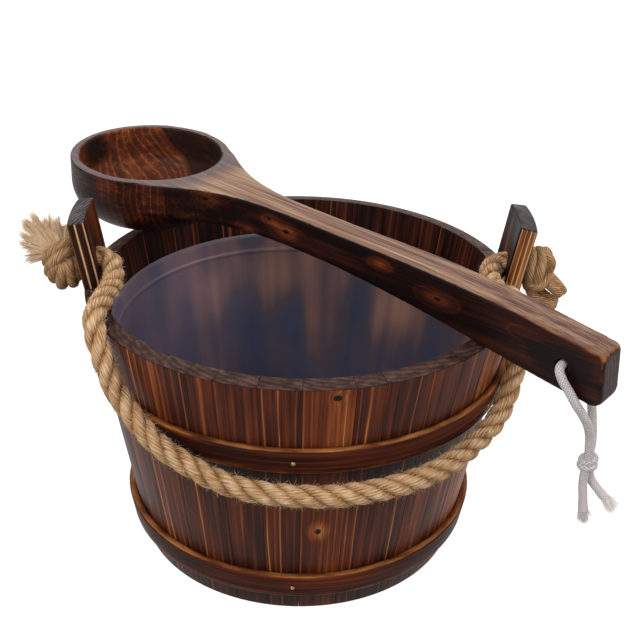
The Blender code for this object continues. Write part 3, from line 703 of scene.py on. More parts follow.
    def painted_top_sheen(self, graph: Graph, place: Socket, inside: Socket, hollow: Socket,
                  colour: Socket) -> Socket:
        """Paint the sheen of surfaces that face up, which reflect the white surroundings: long pinkish
        streaks, grey on the rim.
        """
        normal = graph.axes(graph.coordinate("Normal"))
        share = graph.ranged(normal[2], 0.60, 0.86, 0.0, 0.92)
        bare = graph.math("SUBTRACT", 1.0, hollow)
        share = graph.math("MULTIPLY", share, bare)
        fine = graph.noise(place, 1.1 * MM, 150 * MM, 2.0)
        broad = graph.noise(place, 4 * MM, 120 * MM, 2.0)
        far = graph.ranged(graph.axes(place)[1], 90 * MM, 330 * MM, -0.32, -0.50)
        level = graph.times_plus(fine, 0.95, far)
        level = graph.times_plus(broad, 0.95, level)
        level = graph.times_plus(inside, -0.30, level)
        top_sheen = graph.add("ValToRGB", {0: level}, ramp=(
            (0.10, "#443330"), (0.36, "#76564b"), (0.60, "#a37e69"), (0.88, "#cdab8c")))
        grey = graph.math("MULTIPLY", inside, 0.60)
        top_sheen = graph.over(grey, top_sheen, linear(self.top_sheen_grey))
        colour = graph.over(share, colour, top_sheen)
        # Painted sheen: a faint grey film over the bowl's hollow, which faces up to the light.
        hollow_sheen = graph.math("MULTIPLY", hollow, 0.06)
        return graph.over(hollow_sheen, colour, linear(self.hollow_sheen_colour))

    def wear(self, graph: Graph, place: Socket, colour: Socket) -> Socket:
        """Mix in rubbed golden wood where the wear attribute rises, broken up by noise."""
        share = graph.attribute("wear")
        patch = graph.noise(place, 5 * MM, 22 * MM, 3.0)
        share = graph.math("MULTIPLY", patch, share)
        share = graph.ranged(share, 0.13, 0.42)
        gold = graph.add("ValToRGB", {0: patch}, ramp=((0.3, "#77411f"), (0.7, "#b97a45")))
        return graph.over(share, colour, gold)


@dataclass(frozen=True)
class HempFibre:
    """Undyed hemp, hand laid: dry pale straw fibres with some darker ones, dull, with deep grooves
    that are darkened as painted shade.
    """

    name: str = "hemp_fibre"
    shadow: str = "#704826"
    middle: str = "#c4986b"
    straw: str = "#f0d2ae"
    fibre: float = 0.9 * MM

    def build(self) -> Material:
        """Make the material."""
        graph = Graph(bpy.data.materials.new(self.name))
        place = graph.add("UVMap", {}, uv_map="grain")
        scaled = graph.vector("MULTIPLY", place, (1 / (8 * MM), 1 / self.fibre, 0.0))
        hair = graph.add("TexNoise", {"Vector": scaled, "Scale": 1.0, "Detail": 3.0, "Roughness": 0.6})
        where = graph.coordinate("Object")
        patch = graph.add("TexNoise", {"Vector": where, "Scale": 1 / (9 * MM), "Detail": 2.0})
        depth = graph.attribute("groove")
        level = graph.times_plus(hair, 1.35, -0.24)
        level = graph.times_plus(patch, 0.40, level)
        # Painted shade: the colour darkens with the depth of the groove between strands and yarns.
        level = graph.times_plus(depth, -0.42, level)
        colour = graph.add("ValToRGB", {0: level},
                           ramp=((0.10, self.shadow), (0.48, self.middle), (0.82, self.straw)))
        bump = graph.add("Bump", {"Strength": 1.0, "Distance": 0.4 * MM, "Height": hair})
        return graph.shade(Base_Color=colour, Roughness=0.88, Normal=bump, Specular_IOR_Level=0.15)


@dataclass(frozen=True)
class BraidedCotton:
    """Unbleached cotton, tubular braid: matt grey-white carriers that cross, with painted shade between them.
    """

    name: str = "braided_cotton"
    crevice_shade: str = "#ada3a3"
    body: str = "#e2dad7"
    lit: str = "#faf6f4"

    def build(self) -> Material:
        """Make the material."""
        graph = Graph(bpy.data.materials.new(self.name))
        cross = graph.attribute("groove")
        where = graph.coordinate("Object")
        lint = graph.add("TexNoise", {"Vector": where, "Scale": 1 / (0.8 * MM), "Detail": 3.0})
        level = graph.times_plus(lint, 0.75, 0.28)
        # Painted shade: darker where the carriers dip between their crossings.
        level = graph.times_plus(cross, -0.60, level)
        colour = graph.add("ValToRGB", {0: level},
                           ramp=((0.12, self.crevice_shade), (0.45, self.body), (0.75, self.lit)))
        bump = graph.add("Bump", {"Strength": 1.0, "Distance": 0.25 * MM, "Height": lint})
        return graph.shade(Base_Color=colour, Roughness=0.92, Normal=bump, Specular_IOR_Level=0.12)


@dataclass(frozen=True)
class CloudyPolythene:
    """Low-density polythene, blow moulded: a thin milky wall, bluish. The boards behind it are painted into
    its colour as soft upright streaks, with painted shade towards the bottom and painted light on the left."""

    name: str = "cloudy_polythene"
    tint: str = "#e6e2ee"
    haze: float = 0.82
    rim_colour: str = "#b9b6c4"
    left_light_colour: str = "#8c84a0"

    def build(self) -> Material:
        """Make the material."""
        graph = Graph(bpy.data.materials.new(self.name))
        place = graph.add("UVMap", {}, uv_map="grain")
        level: Socket | float = -0.55
        # The streaks are the blurred boards seen through the wall, painted into its colour.
        for across, along, share in ((48, 70, 1.25), (14, 130, 0.56), (5.0, 90, 0.12)):
            spread = (1 / (across * MM), 1 / (along * MM), 0.0)
            spread = graph.vector("MULTIPLY", place, spread)
            spread = graph.add("TexNoise", {"Vector": spread, "Scale": 1.0, "Detail": 1.0})
            level = graph.times_plus(spread, share, level)
        where = graph.coordinate("Object")
        axes = graph.axes(where)
        wall = graph.ranged(axes[2], 24 * MM, 60 * MM)
        level = graph.mix(wall, 0.42, level)
        # Painted shade: darker towards the pail's bottom.
        deep = graph.ranged(axes[2], 22 * MM, 120 * MM, -0.26, 0.14)
        level = graph.math("ADD", level, deep)
        streak = graph.add("ValToRGB", {0: level}, ramp=(
            (0.20, "#565a74"), (0.42, "#6c6069"), (0.60, "#997672"), (0.80, "#c0927d"), (1.0, "#dab294")))
        edge = graph.attribute("edge")
        streak = graph.over(edge, streak, linear(self.rim_colour))
        # Painted light: the left of the pail is lighter and bluer.
        left_light = graph.ranged(axes[0], -105 * MM, -40 * MM, 0.58, 0.0)
        streak = graph.over(left_light, streak, linear(self.left_light_colour))
        cloud = graph.add("TexNoise", {"Vector": where, "Scale": 1 / (30 * MM)})
        share = graph.ranged(cloud, 0.3, 0.7, self.haze - 0.06, self.haze + 0.06)
        clear = graph.add("BsdfTransparent", {0: linear(self.tint)})
        ripple = graph.add("Bump", {"Strength": 0.4, "Distance": 0.3 * MM, "Height": cloud})
        graph.shade(Base_Color=streak, Roughness=0.30, Specular_IOR_Level=0.35, Normal=ripple)
        mixed = graph.add("MixShader", {0: share, 1: clear, 2: graph.shader.outputs[0]})
        graph.tree.links.new(mixed, graph.tree.nodes["Material Output"].inputs[0])
        return graph.owner


@dataclass(frozen=True)
class DrawnBrass:
    """Brass wire, headed and left bare: a small warm glint, a little dulled."""

    name: str = "drawn_brass"
    colour: str = "#a98c60"

    def build(self) -> Material:
        """Make the material."""
        graph = Graph(bpy.data.materials.new(self.name))
        where = graph.coordinate("Object")
        dull = graph.add("TexNoise", {"Vector": where, "Scale": 1 / (0.9 * MM), "Detail": 2.0})
        rough = graph.ranged(dull, 0.3, 0.7, 0.35, 0.6)
        colour = graph.add("ValToRGB", {0: dull}, ramp=((0.3, self.colour), (0.75, "#8a6a3c")))
        return graph.shade(Base_Color=colour, Metallic=1.0, Roughness=rough)


# View and light


@dataclass(frozen=True)
class Viewpoint:
    """The camera: where it stands from the bucket's axis and how it is turned."""

    place: Point = (-6.85 * MM, -651.0 * MM, 491.99 * MM)
    down: float = math.radians(28.348)
    pan: float = math.radians(1.415)
    roll: float = math.radians(0.698)
    lens: float = 67.40
    sensor: float = 36.0

    def build(self, axis: Vector) -> None:
        """Make the camera, with its right and up vectors turned by the roll."""
        right = Vector((1.0, 0.0, 0.0))
        ahead = Vector((0.0, math.cos(self.down), -math.sin(self.down)))
        up = Vector((0.0, math.sin(self.down), math.cos(self.down)))
        view = ahead * math.cos(self.pan) + right * math.sin(self.pan)
        level = right * math.cos(self.pan) - ahead * math.sin(self.pan)
        side = level * math.cos(self.roll) + up * math.sin(self.roll)
        top = up * math.cos(self.roll) - level * math.sin(self.roll)
        data = bpy.data.cameras.new("camera")
        data.lens = self.lens
        data.sensor_width = self.sensor
        camera = bpy.data.objects.new("camera", data)
        turn = Matrix((side, top, -view)).transposed().to_4x4()
        camera.matrix_world = Matrix.Translation(Vector(self.place) + axis) @ turn
        bpy.context.scene.collection.objects.link(camera)
        bpy.context.scene.camera = camera


@dataclass(frozen=True)
class Studio:
    """A white floor and surroundings, a soft key lamp from the front left and a weaker fill."""

    ambient: float = 0.62
    key: float = 9.0
    fill: float = 4.2
    floor_glow: float = 0.90
    floor_grey: float = 0.36
    floor_size: float = 6.0

    def seen(self, graph: Graph) -> Socket:
        """1 for rays that show the background: from the camera, a reflection or through a clear wall."""
        path = graph.add("LightPath", {}).node.outputs
        both = graph.math("MAXIMUM", path["Is Camera Ray"], path["Is Glossy Ray"])
        return graph.math("MAXIMUM", both, path["Is Transmission Ray"])

    def build(self) -> None:
        """Make the floor, the world and the lamps."""
        graph = Graph(bpy.data.materials.new("white_floor"))
        glow = graph.math("MULTIPLY", self.seen(graph), self.floor_glow)
        grey = self.floor_grey
        graph.shade(Base_Color=(grey, grey, grey, 1.0), Roughness=1.0, Specular_IOR_Level=0.0,
                    Emission_Color=(1.0, 1.0, 1.0, 1.0), Emission_Strength=glow)
        half = self.floor_size / 2
        mesh = bpy.data.meshes.new("floor")
        mesh.from_pydata([(-half, -half, 0.0), (half, -half, 0.0), (half, half, 0.0), (-half, half, 0.0)],
                         [], [(0, 1, 2, 3)])
        mesh.materials.append(graph.owner)
        floor = bpy.data.objects.new("floor", mesh)
        bpy.context.scene.collection.objects.link(floor)
        world = bpy.data.worlds.new("white_surroundings")
        bpy.context.scene.world = world
        sky = Graph(world)
        level = sky.ranged(self.seen(sky), 0.0, 1.0, self.ambient, 1.0)
        backdrop = sky.tree.nodes["Background"]
        backdrop.inputs["Color"].default_value = (1.0, 1.0, 1.0, 1.0)
        sky.tree.links.new(level, backdrop.inputs["Strength"])
        self.lamp("key", (-0.7, -0.9, 1.3), 0.9, self.key)
        self.lamp("fill", (1.1, -0.3, 0.9), 0.8, self.fill)
        bpy.context.scene.view_settings.view_transform = "Standard"

    def lamp(self, name: str, place: Point, size: float, power: float) -> None:
        """A square area lamp that faces the middle of the bucket."""
        data = bpy.data.lights.new(name, "AREA")
        data.size = size
        data.energy = power
        lamp = bpy.data.objects.new(name, data)
        lamp.location = place
        lamp.rotation_euler = (Vector((0.0, 0.0, 0.1)) - Vector(place)).to_track_quat("-Z", "Y").to_euler()
        bpy.context.scene.collection.objects.link(lamp)


# The bucket


@dataclass(frozen=True)
class Wall:
    """The leaning wall of the bucket: its axis, and its radii as functions of height."""

    axis: Vector
    rim_radius: float = 130.0 * MM
    base_radius: float = 101.0 * MM
    rim_height: float = 169.5 * MM
    thickness: float = 10.3 * MM
    groove_height: float = 12.0 * MM
    groove_depth: float = 3.0 * MM
    board: float = 8.6 * MM
    rope_rise: float = 12.5 * MM
    joint: float = 0.3 * MM

    @property
    def lean(self) -> float:
        """How far the wall leans out from upright."""
        return math.atan2(self.rim_radius - self.base_radius, self.rim_height)

    @property
    def hinge(self) -> Vector:
        """Middle of the line through both rope holes."""
        return self.axis + Vector((0.0, 0.0, self.rim_height + self.rope_rise))

    def outer(self, height: float) -> float:
        """Radius of the outer face at a height."""
        return self.base_radius + height * math.tan(self.lean)

    def inner(self, height: float) -> float:
        """Radius of the inner face at a height."""
        return self.outer(height) - self.thickness / math.cos(self.lean)

    def spun(self, radius: Array, height: Array, angle: Array) -> Array:
        """Points at a radius from the bucket's axis, a height and an angle."""
        across = self.axis.x + radius * np.cos(angle)
        ahead = self.axis.y + radius * np.sin(angle)
        return np.stack([across, ahead, height + 0.0 * angle], axis=-1)

    def face(self, degrees: float, height: float) -> Point:
        """A point on the outer face at an angle in degrees and a height."""
        angle = math.radians(degrees)
        radius = self.outer(height)
        return self.axis.x + radius * math.cos(angle), self.axis.y + radius * math.sin(angle), height


def spun_bar(wall: Wall, outline: Array, start: float, sweep: float, ease: float,
             step: float) -> tuple[Array, Array]:
    """Carry a closed outline of (radius, height) round the bucket, with its end edges rounded.

    The outline is shrunk by ease * (1 - sin t) at a distance ease * (1 - cos t) from each end, for t
    from 0 to a quarter turn, which draws a quarter circle along every edge of the two end faces.

    Args:
        wall: The bucket's wall, for its axis.
        outline: Points (radius, height), shaped (n, 2).
        start: Angle of the first end.
        sweep: Angle from end to end.
        ease: Radius of the rounding.
        step: Largest angle between two rings.

    Returns:
        The points, shaped (rings, n, 3), and each ring's angle from the start.
    """
    quarter = np.linspace(0.0, math.pi / 2, 4)
    shrink = ease * (1 - np.sin(quarter))
    reach = ease * (1 - np.cos(quarter))
    count = max(2, math.ceil(sweep / step))
    middle = np.linspace(0.0, 1.0, count + 1)[1:-1] * sweep
    zeros = np.zeros(len(middle))
    shrink = np.concatenate([shrink, zeros, shrink[::-1]])
    turned = np.concatenate([np.zeros(4), middle, np.full(4, sweep)])
    reach = np.concatenate([reach, zeros, -reach[::-1]])
    rings = outline[None] + inward(outline)[None] * shrink[:, None, None]
    angle = start + turned[:, None] + reach[:, None] / rings[..., 0]
    return wall.spun(rings[..., 0], rings[..., 1], angle), angle[:, 0] - start


@dataclass
class Staves:
    """The plain staves, the two ear staves and the bottom boards."""

    wall: Wall
    ease: float = 0.28 * MM
    ear_ease: float = 1.3 * MM
    seam: float = 0.07 * MM
    step: float = math.radians(1.8)
    ear_rings: dict[Side, float] = field(default_factory=lambda: {Side.LEFT: 5.4 * MM, Side.RIGHT: 2.4 * MM})
    hole_radius: float = 7.0 * MM
    bore_reach: tuple[float, float] = (0.10, 0.16)
    inner_darkening: float = 0.20
    ear_inner_darkening: dict[Side, float] = field(default_factory=lambda: {Side.LEFT: -0.16, Side.RIGHT: 0.34})
    knotty: str = "front_stave_09"
    # One tone for each front stave; the highest, on the far right, are a painted sheen.
    front_tones_and_sheen: tuple[float, ...] = (-0.13, -0.09, 0.02, 0.06, -0.04, -0.02, 0.0, 0.02, 0.10, 0.02, -0.05,
                                      0.06, 0.06, 0.24, 0.33, 0.26)

    def outline(self, top: float, ease: float) -> Array:
        """A stave's section: level foot, groove for the boards and top cut square to the lean."""
        wall = self.wall
        top_outer = (wall.outer(top), top)
        top_inner = (top_outer[0] - wall.thickness * math.cos(wall.lean),
                     top + wall.thickness * math.sin(wall.lean))
        groove = wall.inner(wall.groove_height) + wall.groove_depth
        groove_top = wall.groove_height + wall.board
        small = 0.5 * MM
        return rounded([
            (wall.outer(0.0), 0.0, small),
            (*top_outer, max(ease, 0.8 * MM)),
            (*top_inner, max(ease, 0.6 * MM)),
            (wall.inner(groove_top), groove_top, small),
            (groove, groove_top, 0.2 * MM),
            (groove, wall.groove_height, 0.2 * MM),
            (wall.inner(wall.groove_height), wall.groove_height, small),
            (wall.inner(0.0), 0.0, small),
        ])

    def span(self, name: str) -> tuple[float, float, float]:
        """First angle, sweep and top of a stave with half of each seam, read from its CAD node."""
        places = points_of(frame["nodes"][name].data) - np.array(self.wall.axis)
        middle = math.atan2(places[:, 1].mean(), places[:, 0].mean())
        angles = (np.arctan2(places[:, 1], places[:, 0]) - middle + math.pi) % FULL_TURN - math.pi
        gap = self.wall.joint / self.wall.inner(0.0)
        return middle + angles.min() - gap / 2, float(np.ptp(angles)) + gap, float(places[:, 2].max())

    def stave(self, name: str, number: int, tone: float, ease: float, darkening: float,
              finish: Material) -> Object:
        """Make one stave as a fine grid with rounded rim and seams, its inner face darker by a set amount."""
        start, sweep, top = self.span(name)
        top -= self.wall.thickness * math.sin(self.wall.lean)
        gap = self.seam / self.wall.outer(0.0)
        points = self.outline(top, ease)
        grid, turned = spun_bar(self.wall, points, start + gap / 2, sweep - gap, ease, self.step)
        across = turned * self.wall.rim_radius + number * 0.37
        length = travelled(points)
        closed = np.append(length, length[-1] + 10 * MM)
        skin = Skin()
        hidden = points[:, 0] < self.wall.outer(0.0) + points[:, 1] * math.tan(self.wall.lean) - 5 * MM
        skin.add_grid(grid, paired(across[:, None], closed[None]),
                      tone=(tone - darkening * hidden)[None])
        return skin.build(name + "_wood", finish)

    def build(self, wood: Material, figured: Material, ears: dict[Side, Material], board: Material) -> None:
        """Make every stave, bore the ears and finish the bottom boards."""
        names = [name for name in frame["nodes"] if "_stave_" in name and not name.startswith("ear")]
        for number, name in enumerate(sorted(names)):
            tone = 0.05 * math.sin(number * 2.4)
            if name.startswith("front"):
                tone = self.front_tones_and_sheen[int(name[-2:]) - 1]
            finish = figured if name == self.knotty else wood
            piece = self.stave(name, number + 1, tone, self.ease, self.inner_darkening, finish)
            place_on(piece, "bucket", "charred_wood", name)
        for number, (side, finish) in enumerate(ears.items()):
            name = f"ear_stave_{side.name.lower()}"
            ear = self.stave(name, 60 + number, 0.0, self.ear_ease, self.ear_inner_darkening[side], finish)
            turn = once_round(48)
            ring = np.stack([0 * turn, np.cos(turn), np.sin(turn)], axis=1) * self.hole_radius
            ends = np.array([[[side.value * reach, 0.0, 0.0]] for reach in self.bore_reach])
            bore = Skin()
            bore.add_grid(ring[None] + ends + np.array(self.wall.hinge))
            cut_or_join(ear, bore.build("bore", finish), "DIFFERENCE")
            ear.data.set_sharp_from_angle(angle=math.radians(HARD_FORM))
            place_on(ear, "bucket", "charred_wood", name)
        dress("bottom_board", board)

    def ear_wood(self, side: Side) -> Material:
        """Ear wood whose years lie through the wall and show as lines on the ear's narrow sides."""
        lean = self.wall.lean
        up = Vector((side.value * math.sin(lean), 0.0, math.cos(lean)))
        out = Vector((side.value * math.cos(lean), 0.0, -math.sin(lean)))
        turned = Matrix((up, out, up.cross(out))).transposed().to_4x4()
        bright = side is Side.RIGHT
        return CharredSpruce(f"charred_spruce_ear_{side.name.lower()}", ring=self.ear_rings[side],
                             drift=0.8 * MM, contrast=0.5, edge_contrast=0.6 if bright else 2.3, light=-0.10,
                             even=0.85, edge_light=0.64 if bright else -0.14,
                             years=(1.0, 0.0, 1.0 if bright else -0.5), year=1.4 * MM, year_contrast=0.42,
                             shades=("#140a07", "#35190d", "#653519", "#a8683a", "#dcb385"),
                             sawn=("#15100f", "#272020", "#3f3636", "#625658", "#8e8283"), grain=tuple(up),
                             turned=turned).build()


@dataclass
class Hoops:
    """The two bent wooden bands, each butted at the back, and the brads that pin them."""

    wall: Wall
    thickness: float = 4.5 * MM
    width: float = 15.7 * MM
    lows: dict[str,
               float] = field(default_factory=lambda: {"lower_hoop": 14.5 * MM, "upper_hoop": 114.3 * MM})
    joint: float = 0.5 * MM
    foot_wear: tuple[float, ...] = (0.0, 0.25, 0.7, 0.7, 0.4, 0.3)
    top_wear: tuple[float, ...] = (0.0, 0.0, 0.15, 0.45, 0.8, 0.85)

    def build(self, wood: Material, brass: Material) -> None:
        """Make both bands as one outline carried round, with worn upper edges."""
        wall = self.wall
        for name, low in self.lows.items():
            lean = math.tan(wall.lean)
            inner = wall.outer(low) + wall.joint
            outer = inner + self.thickness / math.cos(wall.lean)
            high = low + self.width
            points = rounded([
                (inner, low, 0.4 * MM),
                (outer, low, 1.3 * MM),
                (outer + self.width * lean, high, 1.7 * MM),
                (inner + self.width * lean, high, 0.4 * MM),
            ], 5)
            wear = np.zeros(len(points))
            wear[6:12] = self.foot_wear
            wear[12:18] = self.top_wear
            wear[18:] = 0.4
            opening = self.joint / outer
            grid, turned = spun_bar(wall, points, math.pi / 2 + opening / 2, FULL_TURN - opening, 0.5 * MM,
                                    math.radians(1.5))
            length = travelled(points)
            closed = np.append(length, length[-1] + 0.5 * MM) + low * 7
            along = turned * outer + low * 10
            skin = Skin()
            skin.add_grid(grid, paired(closed[None], along[:, None]),
                          wear=wear[None])
            place_on(skin.build(name + "_band", wood), "bucket", "charred_wood", name)
        dress("_brad_", brass)


@dataclass
class Liner:
    """The thin cloudy pail inside the bucket, which leans a little towards the front left."""

    wall: Wall
    rim: float = 150.0 * MM
    floor: float = 20.6 * MM
    skin: float = 1.2 * MM
    play: float = 3.1 * MM
    corner: float = 6.0 * MM
    rib_drop: float = 12.0 * MM
    rib: float = 0.7 * MM
    shift: float = 2.6 * MM
    bearing: float = math.radians(-147)
    segments: int = 160

    def profile(self) -> Array:
        """The pail's outer (radius, height) line from its rim to the middle of its floor."""
        wall = self.wall
        drop = np.array([0.0, 0.8, 2.5, 5.0, 8.0, 10.0, 10.8, 11.4, 12.0, 12.6, 13.2, 14.0, 16.0]) * MM
        height = np.concatenate([self.rim - drop,
                                 np.linspace(self.rim - 20 * MM, self.floor + self.corner, 24)])
        bulge = self.rib * np.exp(-(((height - self.rim + self.rib_drop) / (0.9 * MM)) ** 2))
        slope = math.tan(wall.lean)
        near = wall.inner(0.0) + height * slope - self.play - bulge
        angle = np.linspace(0.0, math.pi / 2, 7)[1:]
        corner = wall.inner(self.floor + self.corner) - self.play - self.corner * (1 - np.cos(angle))
        low = self.floor + self.corner * (1 - np.sin(angle))
        flat = np.linspace(corner[-1], 0.4 * MM, 8)[1:]
        radius = np.concatenate([near, corner, flat])
        return np.stack([radius, np.concatenate([height, low, np.full(len(flat), self.floor)])], axis=1)

    def build(self, plastic: Material) -> None:
        """Turn the profile and its inner offset into one closed shell."""
        outside = self.profile()
        slope = np.gradient(outside, axis=0)
        slope /= np.linalg.norm(slope, axis=1, keepdims=True)
        inside = outside + np.stack([slope[:, 1], -slope[:, 0]], axis=1) * self.skin
        inside[:, 0] = np.maximum(inside[:, 0], 0.4 * MM)
        inside[0, 1] = self.rim
        line = np.concatenate([outside[::-1], inside])
        angle = once_round(self.segments)
        grid = self.wall.spun(line[:, :1], line[:, 1:], angle[None])
        grid += np.array([math.cos(self.bearing), math.sin(self.bearing), 0.0]) * self.shift
        closed = np.append(angle, FULL_TURN)[None] * self.wall.inner(self.rim)
        uv = paired(closed, line[:, 1:])
        drop = self.rim - line[:, 1:]
        edge = 0.65 * np.exp(-((drop / (1.2 * MM)) ** 2))
        for rib in (self.rib_drop - 1.2 * MM, self.rib_drop + 1.6 * MM):
            edge = edge + 0.05 * np.exp(-(((drop - rib) / (0.8 * MM)) ** 2))
        skin = Skin()
        skin.add_grid(grid, uv, edge=np.clip(edge, 0.0, 1.0))
        place_on(skin.build("liner_pail", plastic), "liner", "clear_plastic", "liner")


# Rope and cord


@dataclass
class Tube:
    """A round tube along a path, whose surface is a function of the angle and the distance run."""

    diameter: float
    around: int = 24

    def surface(self, angle: Array, far: Array) -> tuple[Array, Array, Array]:
        """The radius, the depth of the groove and the pattern's place across, for each grid point."""
        plain = np.full(np.broadcast_shapes(angle.shape, far.shape), self.diameter / 2)
        return plain, 0.0 * plain, angle * self.diameter / 2 + 0.0 * far

    def add(self, skin: Skin, path: Array, swell: Array | float = 1.0, blunt: float = 0.0) -> None:
        """Add the tube along a path.

        Args:
            skin: Where the grid goes.
            path: The middle line, shaped (n, 3).
            swell: Factor on the thickness, one number or one for each point of the path.
            blunt: Length over which each end closes in as a half ellipse, or 0 for flat ends.
        """
        far = travelled(path)[:, None]
        factor = np.broadcast_to(np.asarray(swell, dtype=float), (len(path),))[:, None]
        if blunt:
            from_end = np.clip(np.minimum(far, far[-1] - far) / blunt, 0.0, 1.0)
            factor = factor * np.maximum(np.sqrt(1 - (1 - from_end) ** 2), 0.04)
        angle = once_round(self.around)[None]
        radius, groove, across = self.surface(angle, far)
        first, second = path_frames(path)[1:]
        offset = first[:, None] * np.cos(angle)[..., None] + second[:, None] * np.sin(angle)[..., None]
        grid = path[:, None] + offset * (radius * factor)[..., None]
        across = np.concatenate([across, across[:, :1] + FULL_TURN * self.diameter / 2], axis=1)
        skin.add_grid(grid, paired(far, across), groove=groove)


@dataclass
class LaidRope(Tube):
    """Three-strand rope: a section of three round strands, turned steadily along its path.

    At angle a from a strand's middle the surface lies b cos a + sqrt(s^2 - b^2 sin^2 a) from the rope's
    line, where s is the strand's radius and b the distance of its middle. The yarns are a small cosine
    wave on that, which runs along the rope, because yarn and strand are twisted opposite ways.
    """

    diameter: float = 12.5 * MM
    around: int = 84
    strand: float = 4.0 * MM
    pitch: float = 37.0 * MM
    yarns: int = 21
    yarn_relief: float = 0.20 * MM

    def surface(self, angle: Array, far: Array) -> tuple[Array, Array, Array]:
        """The radius, the depth of the groove and the pattern's place across, for each grid point."""
        turned = angle - FULL_TURN * far / self.pitch
        local = (turned + FULL_TURN / 6) % (FULL_TURN / 3) - FULL_TURN / 6
        middle = self.diameter / 2 - self.strand
        radius = middle * np.cos(local) + np.sqrt(self.strand**2 - (middle * np.sin(local)) ** 2)
        depth = np.clip((self.diameter / 2 - radius) / (0.30 * self.diameter / 2), 0.0, 1.0)
        number = np.floor((turned + FULL_TURN / 6) / (FULL_TURN / 3))
        yarn = np.cos(self.yarns * (angle + 0.12 * FULL_TURN * far / self.pitch) + number * 2.1)
        across = (angle + 0.12 * FULL_TURN * far / self.pitch + number * 0.7) * self.diameter / 2
        return radius + self.yarn_relief * yarn * (1 - depth), depth**1.3 + 0.2 * (1 - yarn), across


@dataclass
class LaidStrand(Tube):
    """One strand of the rope on its own: a round bundle whose yarns run round it as a screw."""

    diameter: float = 6.6 * MM
    around: int = 64
    pitch: float = 22.0 * MM
    yarns: int = 11
    yarn_relief: float = 0.26 * MM

    def surface(self, angle: Array, far: Array) -> tuple[Array, Array, Array]:
        """The radius, the depth of the groove and the pattern's place across, for each grid point."""
        turned = angle + FULL_TURN * far / self.pitch
        yarn = np.abs(np.cos(self.yarns / 2 * turned)) ** 1.5
        radius = self.diameter / 2 - self.yarn_relief * (1 - yarn) * 2
        return radius, 1.2 * (1 - yarn), turned * self.diameter / 2


@dataclass
class BraidedTube(Tube):
    """Tubular braid: two sets of carriers cross, and over is now one set and now the other.

    With p and q the phases of the two sets, the height is cos^2 p where sin p sin q is above nought and
    cos^2 q elsewhere.
    """

    diameter: float = 5.3 * MM
    around: int = 64
    carriers: int = 8
    pitch: float = 13.0 * MM
    relief: float = 0.26 * MM

    def surface(self, angle: Array, far: Array) -> tuple[Array, Array, Array]:
        """The radius, the depth of the groove and the pattern's place across, for each grid point."""
        lay = FULL_TURN * far / self.pitch
        p = self.carriers * (angle + lay)
        q = self.carriers * (angle - lay)
        height = np.where(np.sin(p / 2) * np.sin(q / 2) > 0, np.cos(p / 2) ** 2, np.cos(q / 2) ** 2)
        radius = self.diameter / 2 - self.relief * (1 - height)
        return radius, 1 - height, angle * self.diameter / 2 + 0.0 * far


@dataclass
class Tuft:
    """Frayed fibres that leave one place in a few yarns and fan out."""

    root: float = 2.4 * MM
    tip: float = 5.0 * MM
    yarns: int = 9
    hairs: int = 16
    width: float = 0.5 * MM
    curl: float = 1.6 * MM
    pale: float = 0.0

    def add(self, skin: Skin, start: Array, end: Array, rng: np.random.Generator) -> None:
        """Add the tuft from its root to its tip.

        Args:
            skin: Where the hairs go.
            start: Middle of the root.
            end: Middle of the tip.
            rng: Source of the seeded scatter.
        """
        count = self.yarns * self.hairs
        yarn = np.repeat(np.arange(self.yarns), self.hairs)
        turn = yarn * 2.4 + rng.normal(0.0, 0.15, count)
        out = np.sqrt((yarn + 0.5) / self.yarns)[:, None]
        first, second = path_frames(np.linspace(start, end, 3))[1:]
        spoke = first[0] * np.cos(turn)[:, None] + second[0] * np.sin(turn)[:, None]
        roots = start + spoke * out * self.root + rng.normal(0.0, 0.35 * MM, (count, 3))
        tips = end + spoke * out * self.tip + rng.normal(0.0, 0.55 * MM, (count, 3))
        reach = tips - roots
        lengths = np.linalg.norm(reach, axis=1)
        bends = rng.normal(0.0, self.curl, (self.yarns, 3))[yarn]
        bends = bends + rng.normal(0.0, self.curl * 0.4, (count, 3))
        skin.add_fibres(roots, reach / lengths[:, None], lengths * rng.uniform(0.86, 1.04, count),
                        rng.uniform(0.7, 1.2, count) * self.width, bends, 4, self.pale)


